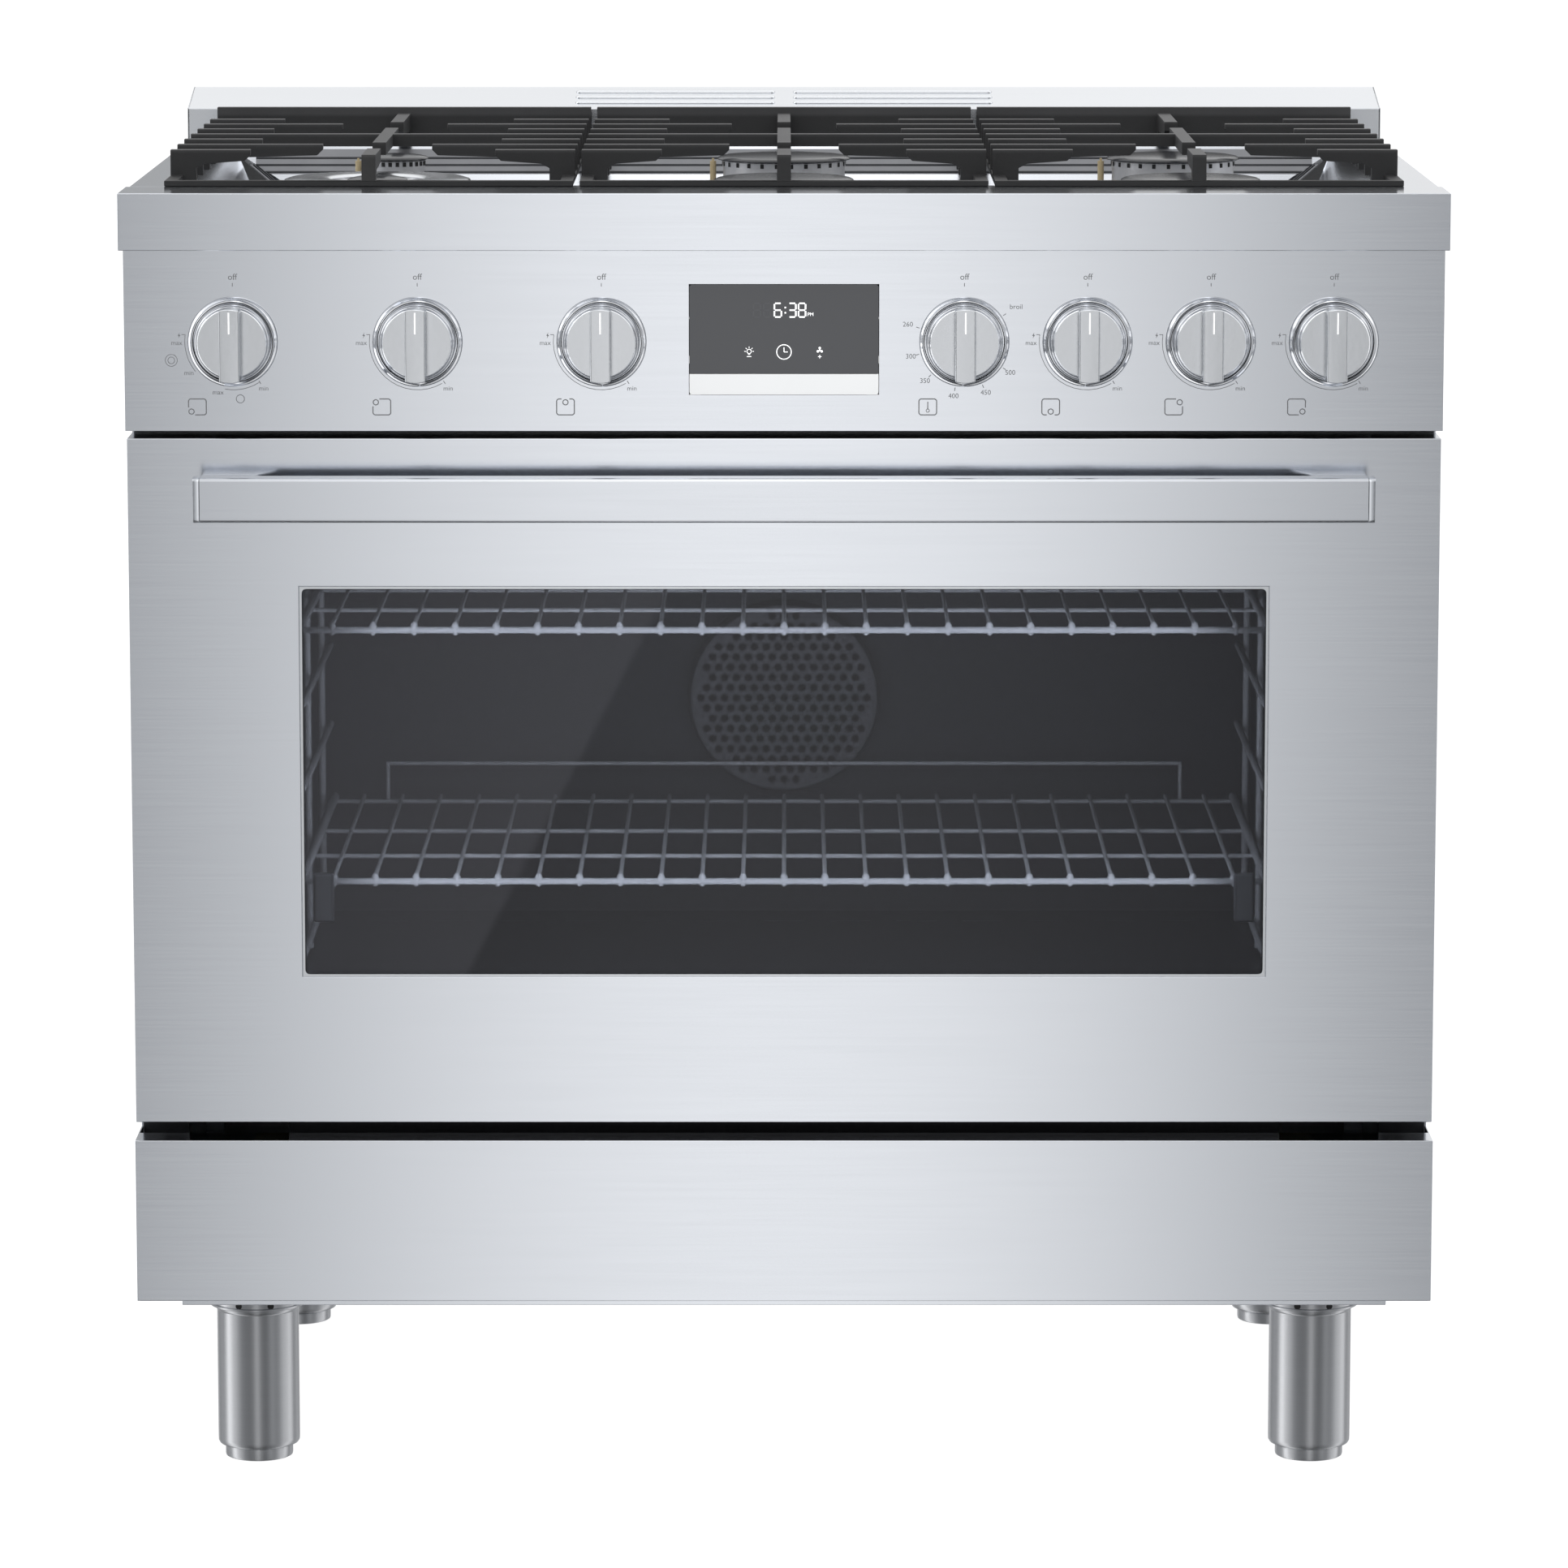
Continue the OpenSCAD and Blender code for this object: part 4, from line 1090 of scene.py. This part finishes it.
def make_rack(name):
    low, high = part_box(name)
    shelf = high.z - STOP_RISE
    cross = shelf - 3.4 * MM
    shape = bmesh.new()
    for column in range(-11, 12):
        x = column * RACK_PITCH
        add_rod(shape, (x, low.y + 2.2 * MM, shelf), (x, high.y - 1.5 * MM, shelf), 1.5 * MM)
        bead = bmesh.ops.create_uvsphere(shape, u_segments=12, v_segments=8, radius=2.9 * MM)["verts"]
        bmesh.ops.transform(shape, matrix=shift(x, low.y + 2.9 * MM, shelf - BEAD_DROP), verts=bead)
        for vert in bead:
            vert.co.z = shelf - BEAD_DROP + (vert.co.z - shelf + BEAD_DROP) * BEAD_STRETCH
    for side in (low.x + 3 * MM, high.x - 3 * MM):
        add_rod(shape, (side, low.y, shelf - 0.5 * MM), (side, high.y - 1.5 * MM, shelf - 0.5 * MM), 3 * MM)
    add_rod(shape, (low.x + 4 * MM, low.y + 2.5 * MM, cross), (high.x - 4 * MM, low.y + 2.5 * MM, cross), 2.3 * MM)
    for back in CROSS_WIRES:
        y = low.y + back * MM
        add_rod(shape, (low.x + 4 * MM, y, cross), (high.x - 4 * MM, y, cross), 1.6 * MM)
    stop_y, stop_z = high.y - 2.5 * MM, high.z - 2.5 * MM
    add_rod(shape, (-STOP_HALF, stop_y, stop_z), (STOP_HALF, stop_y, stop_z), 1.5 * MM)
    for x in (-STOP_HALF, STOP_HALF):
        add_rod(shape, (x, stop_y, cross), (x, stop_y, stop_z), 1.5 * MM)
        elbow = bmesh.ops.create_uvsphere(shape, u_segments=12, v_segments=8, radius=1.5 * MM)["verts"]
        bmesh.ops.transform(shape, matrix=shift(x, stop_y, stop_z), verts=elbow)
    place_piece(name + "_wires", shape, name, rack_grey, (name,))


make_rack("rack_lower")
make_rack("rack_upper")

# %% Side supports
POSTS = (40, 200, 360)
LUGS = (40, 360)
LUG_HEIGHTS = (344, 624)
RUNNER_HEIGHTS = (350, 409.7, 470, 530, 588.7, 645)
support_low, support_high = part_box("rack_supports")
supports = bmesh.new()
for side in (-1, 1):
    wire_x = side * (support_high.x - 11.5 * MM)
    post_x = side * (support_high.x - 6.45 * MM)
    for back in POSTS:
        y = support_low.y + back * MM
        add_rod(supports, (post_x, y, support_low.z), (post_x, y, support_high.z), 2.5 * MM)
    for height in RUNNER_HEIGHTS:
        z, y = height * MM, support_low.y + 1 * MM
        add_rod(supports, (wire_x, support_low.y, z), (wire_x, support_high.y, z), 2.5 * MM)
        add_rod(supports, (wire_x, y, z), (post_x, y, z + 9 * MM), 2.2 * MM)
    for back in LUGS:
        y = support_low.y + back * MM
        for height in LUG_HEIGHTS:
            z = height * MM
            add_rod(supports, (post_x, y, z), (side * support_high.x, y, z), 3.5 * MM)
place_piece("support_wires", supports, "range_body", rack_grey, ("rack_supports",))

# %% [markdown]
# ## Fan cover and lamps
#
# The fan cover is a shallow pressed dish, and its many small holes are laid out like a honeycomb. Each hole is
# a dark disc set just into the face, painted shade in place of the hole. A weak area light just inside the door
# lifts the oven out of the dark.

# %% Fan cover
cover_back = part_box("fan_cover")[1].y
cover_middle = middle("fan_cover")
COVER_PROFILE = [(73, 0), (73, 2), (71.5, 14), (70.5, 16.6), (68.5, 17.8), (0, 17.8)]
HOLE_PITCH = 9.0
HOLE_RADIUS = 3.1 * MM
HOLE_LEVEL = 17.7 * MM
HOLES_WITHIN = 64
cover_grey = speckled("fan_cover_grey", (0.085, 0.085, 0.087), (0.105, 0.105, 0.108), 120.0, 0.3)
cover_place = facing_front(cover_middle.x, cover_back, cover_middle.z)
cover = bmesh.new()
add_lathe(cover, scaled(COVER_PROFILE), cover_place, 72)
place_piece("fan_cover_dish", cover, "range_body", cover_grey, ("fan_cover",))
holes = bmesh.new()
for row in range(-8, 9):
    for column in range(-9, 10):
        x = (column + (row % 2) / 2) * HOLE_PITCH
        up = row * HOLE_PITCH * math.sqrt(0.75)
        if math.hypot(x, up) < HOLES_WITHIN:
            made = bmesh.ops.create_cone(
                holes, cap_ends=True, segments=8, radius1=HOLE_RADIUS, radius2=HOLE_RADIUS, depth=0.5 * MM
            )
            place = cover_place @ shift(x * MM, up * MM, HOLE_LEVEL)
            bmesh.ops.transform(holes, matrix=place, verts=made["verts"])
# Dark discs: painted shade in place of the holes
place_piece("fan_cover_holes", holes, "range_body", hole_shade_black)

# %% Side lamps
lamp_glass = speckled("lamp_glass", (0.30, 0.30, 0.31), (0.36, 0.36, 0.37), 60.0, 0.2)
dress("oven_lamps", lamp_glass, 0.001)

# %% Light that fills the oven
fill_data = bpy.data.lights.new("oven_fill", "AREA")
fill_data.shape = "RECTANGLE"
fill_data.size = 0.6
fill_data.size_y = 0.3
fill_data.energy = 5.0
fill = bpy.data.objects.new("oven_fill", fill_data)
fill.location = (0, FRONT + 68 * MM, 0.50)
fill.rotation_euler = (math.radians(90), 0, 0)
fill.visible_camera = False
fill.visible_glossy = False
bpy.context.scene.collection.objects.link(fill)

# %% [markdown]
# ## Door handle
#
# The handle is one drawn bar with a flat front and small round corners, closed by a thin cap at each end. Its
# section is a rectangle whose corners are arcs, pulled across the width of the door.

# %% Handle bar
def rounded_section(half_depth, half_height, corner, steps=6):
    """Points of a rounded rectangle in the YZ plane."""
    points = []
    for quarter, (a, b) in enumerate(((1, 1), (-1, 1), (-1, -1), (1, -1))):
        for step in range(steps + 1):
            turn = math.radians(90 * quarter + 90 * step / steps)
            y = a * (half_depth - corner) + corner * math.cos(turn)
            points.append((y, b * (half_height - corner) + corner * math.sin(turn)))
    return points


HANDLE_CORNER = 2.6 * MM
END_CAP = 4.8 * MM
CAP_SEAM = 0.3 * MM
bar_low, bar_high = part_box("handle_bar")
bar_middle = middle("handle_bar")
bar_half = (bar_high - bar_low) / 2


def handle_length(shape, start, end):
    section = rounded_section(bar_half.y, bar_half.z, HANDLE_CORNER)
    outline = [(start, bar_middle.y + y, bar_middle.z + z) for y, z in section]
    return add_prism(shape, outline, (end - start, 0, 0))


handle = bmesh.new()
handle_length(handle, bar_low.x + END_CAP, bar_high.x - END_CAP)
place_piece("handle_tube", handle, "door", steel_bar, ("handle_bar",), math.radians(50))
end_caps = bmesh.new()
CAP_LENGTH = END_CAP - CAP_SEAM
for start, end in ((bar_low.x, bar_low.x + CAP_LENGTH), (bar_high.x - CAP_LENGTH, bar_high.x)):
    handle_length(end_caps, start, end)
round_corners(end_caps, 0.4 * MM, 2, 60)
place_piece("handle_caps", end_caps, "door", steel_bar, (), math.radians(50))

# %% [markdown]
# ## Window frame
#
# A slim bright lip runs round the glass where the steel is folded in. It is four thin bars with a small
# curved fillet in each corner, and it opens with the door.

# %% Window lip
LIP = 1.6 * MM
FILLET = 3.2 * MM
LIP_INSET = 10 * MM
glass_low, glass_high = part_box("outer_glass")
win_low_x, win_high_x = glass_low.x + LIP_INSET, glass_high.x - LIP_INSET
win_low_z, win_high_z = glass_low.z + LIP_INSET, glass_high.z - LIP_INSET
lip_front, lip_back = DOOR_LOW.y + 0.1 * MM, glass_low.y - 0.05 * MM
lip = bmesh.new()
add_block(lip, (win_low_x, lip_front, win_low_z), (win_low_x + LIP, lip_back, win_high_z))
add_block(lip, (win_high_x - LIP, lip_front, win_low_z), (win_high_x, lip_back, win_high_z))
add_block(lip, (win_low_x + LIP, lip_front, win_low_z), (win_high_x - LIP, lip_back, win_low_z + LIP))
add_block(lip, (win_low_x + LIP, lip_front, win_high_z - LIP), (win_high_x - LIP, lip_back, win_high_z))
for x in (win_low_x + LIP, win_high_x - LIP):
    for z in (win_low_z + LIP, win_high_z - LIP):
        inward_x = 1 if x < 0 else -1
        inward_z = 1 if z < (win_low_z + win_high_z) / 2 else -1
        outline = [(x, lip_front, z)]
        for step in range(7):
            turn = math.radians(15 * step)
            bow_x = x + inward_x * FILLET * (1 - math.sin(turn))
            outline.append((bow_x, lip_front, z + inward_z * FILLET * (1 - math.cos(turn))))
        add_prism(lip, outline, (0, lip_back - lip_front, 0))
place_piece("window_lip", lip, "door", steel_trim)

# %% [markdown]
# The inner pane is a separate sheet of glass behind the liner, held by two pale clips at its sides.

# %% Inner pane and clips
clip_grey = speckled("pane_clip", (0.86, 0.86, 0.87), (0.92, 0.92, 0.93), 60.0, 0.35, 1.0)
pane_low, pane_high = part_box("inner_glass")
PANE_DEPTH = 4 * MM
CLIP_X = (315.5, 330.5)
CLIP_Z = (390, 425)
pane = bmesh.new()
add_block(pane, (pane_low.x, pane_high.y - PANE_DEPTH, pane_low.z), tuple(pane_high))
round_corners(pane, 0.6 * MM, 2, 60)
place_piece("inner_pane", pane, "door", inner_pane, ("inner_glass",))
clips = bmesh.new()
for side in (-1, 1):
    near, far = sorted(side * x * MM for x in CLIP_X)
    low, high = (near, pane_low.y, CLIP_Z[0] * MM), (far, pane_high.y - PANE_DEPTH, CLIP_Z[1] * MM)
    clip = add_block(clips, low, high)
    round_corners(clips, 2.2 * MM, 4, 60, clip)
place_piece("glass_clips", clips, "door", clip_grey)

# %% [markdown]
# ## Legs
#
# Each leg is a turned sleeve with a rolled rim at the top, held by a slightly tapered collar with small holes.
# The foot below it is a separate turned disc that rides on its own screw.

# %% Legs and feet
SLEEVE = [
    (0, 9.3), (26.2, 9.3), (28.0, 9.9), (28.9, 11.4), (29, 14), (29, 107), (29.8, 108), (30.0, 110.2), (0, 110.2),
]
COLLAR = [
    (0, 110.4), (33.0, 110.4), (33.9, 110.8), (34.0, 112.2), (33.2, 112.8), (33.0, 117.4), (34.2, 118.2),
    (34.9, 119.4), (35.0, 126.8), (0, 126.8),
]
FOOT = [(0, 0), (22.6, 0), (23.7, 0.6), (24, 1.8), (24, 7.4), (23.5, 8.6), (22.6, 9), (0, 9)]
FOOT_HEIGHT, SCREW_TOP, SCREW_RADIUS = 9 * MM, 80 * MM, 8.4 * MM
COLLAR_HOLES = 9
HOLE_HEIGHT = 114.6 * MM
COLLAR_WAIST = 32.4 * MM
sleeves = bmesh.new()
collars = bmesh.new()
collar_holes = bmesh.new()
for name in FEET:
    spot = middle(name)
    axis = shift(spot.x, spot.y, 0)
    add_lathe(sleeves, scaled(SLEEVE), axis, 72)
    add_lathe(collars, scaled(COLLAR), axis, 72)
    for step in range(COLLAR_HOLES):
        turn = math.tau * (step + 0.5) / COLLAR_HOLES
        out = Vector((math.sin(turn), -math.cos(turn), 0))
        start = axis @ Vector((0, 0, HOLE_HEIGHT)) + out * COLLAR_WAIST
        add_rod(collar_holes, start, start + out * 0.9 * MM, 2.4 * MM)
    foot = bmesh.new()
    add_lathe(foot, scaled(FOOT), axis, 72)
    add_rod(foot, (spot.x, spot.y, FOOT_HEIGHT), (spot.x, spot.y, SCREW_TOP), SCREW_RADIUS, 24)
    place_piece(name + "_disc", foot, name, steel_leg, (name,))
place_piece("leg_sleeves", sleeves, "range_body", steel_leg)
place_piece("leg_flanges", collars, "range_body", steel_leg, ("legs",))
# The collar holes are dark rods, painted shade in place of the holes
place_piece("flange_holes", collar_holes, "range_body", hole_shade_black)
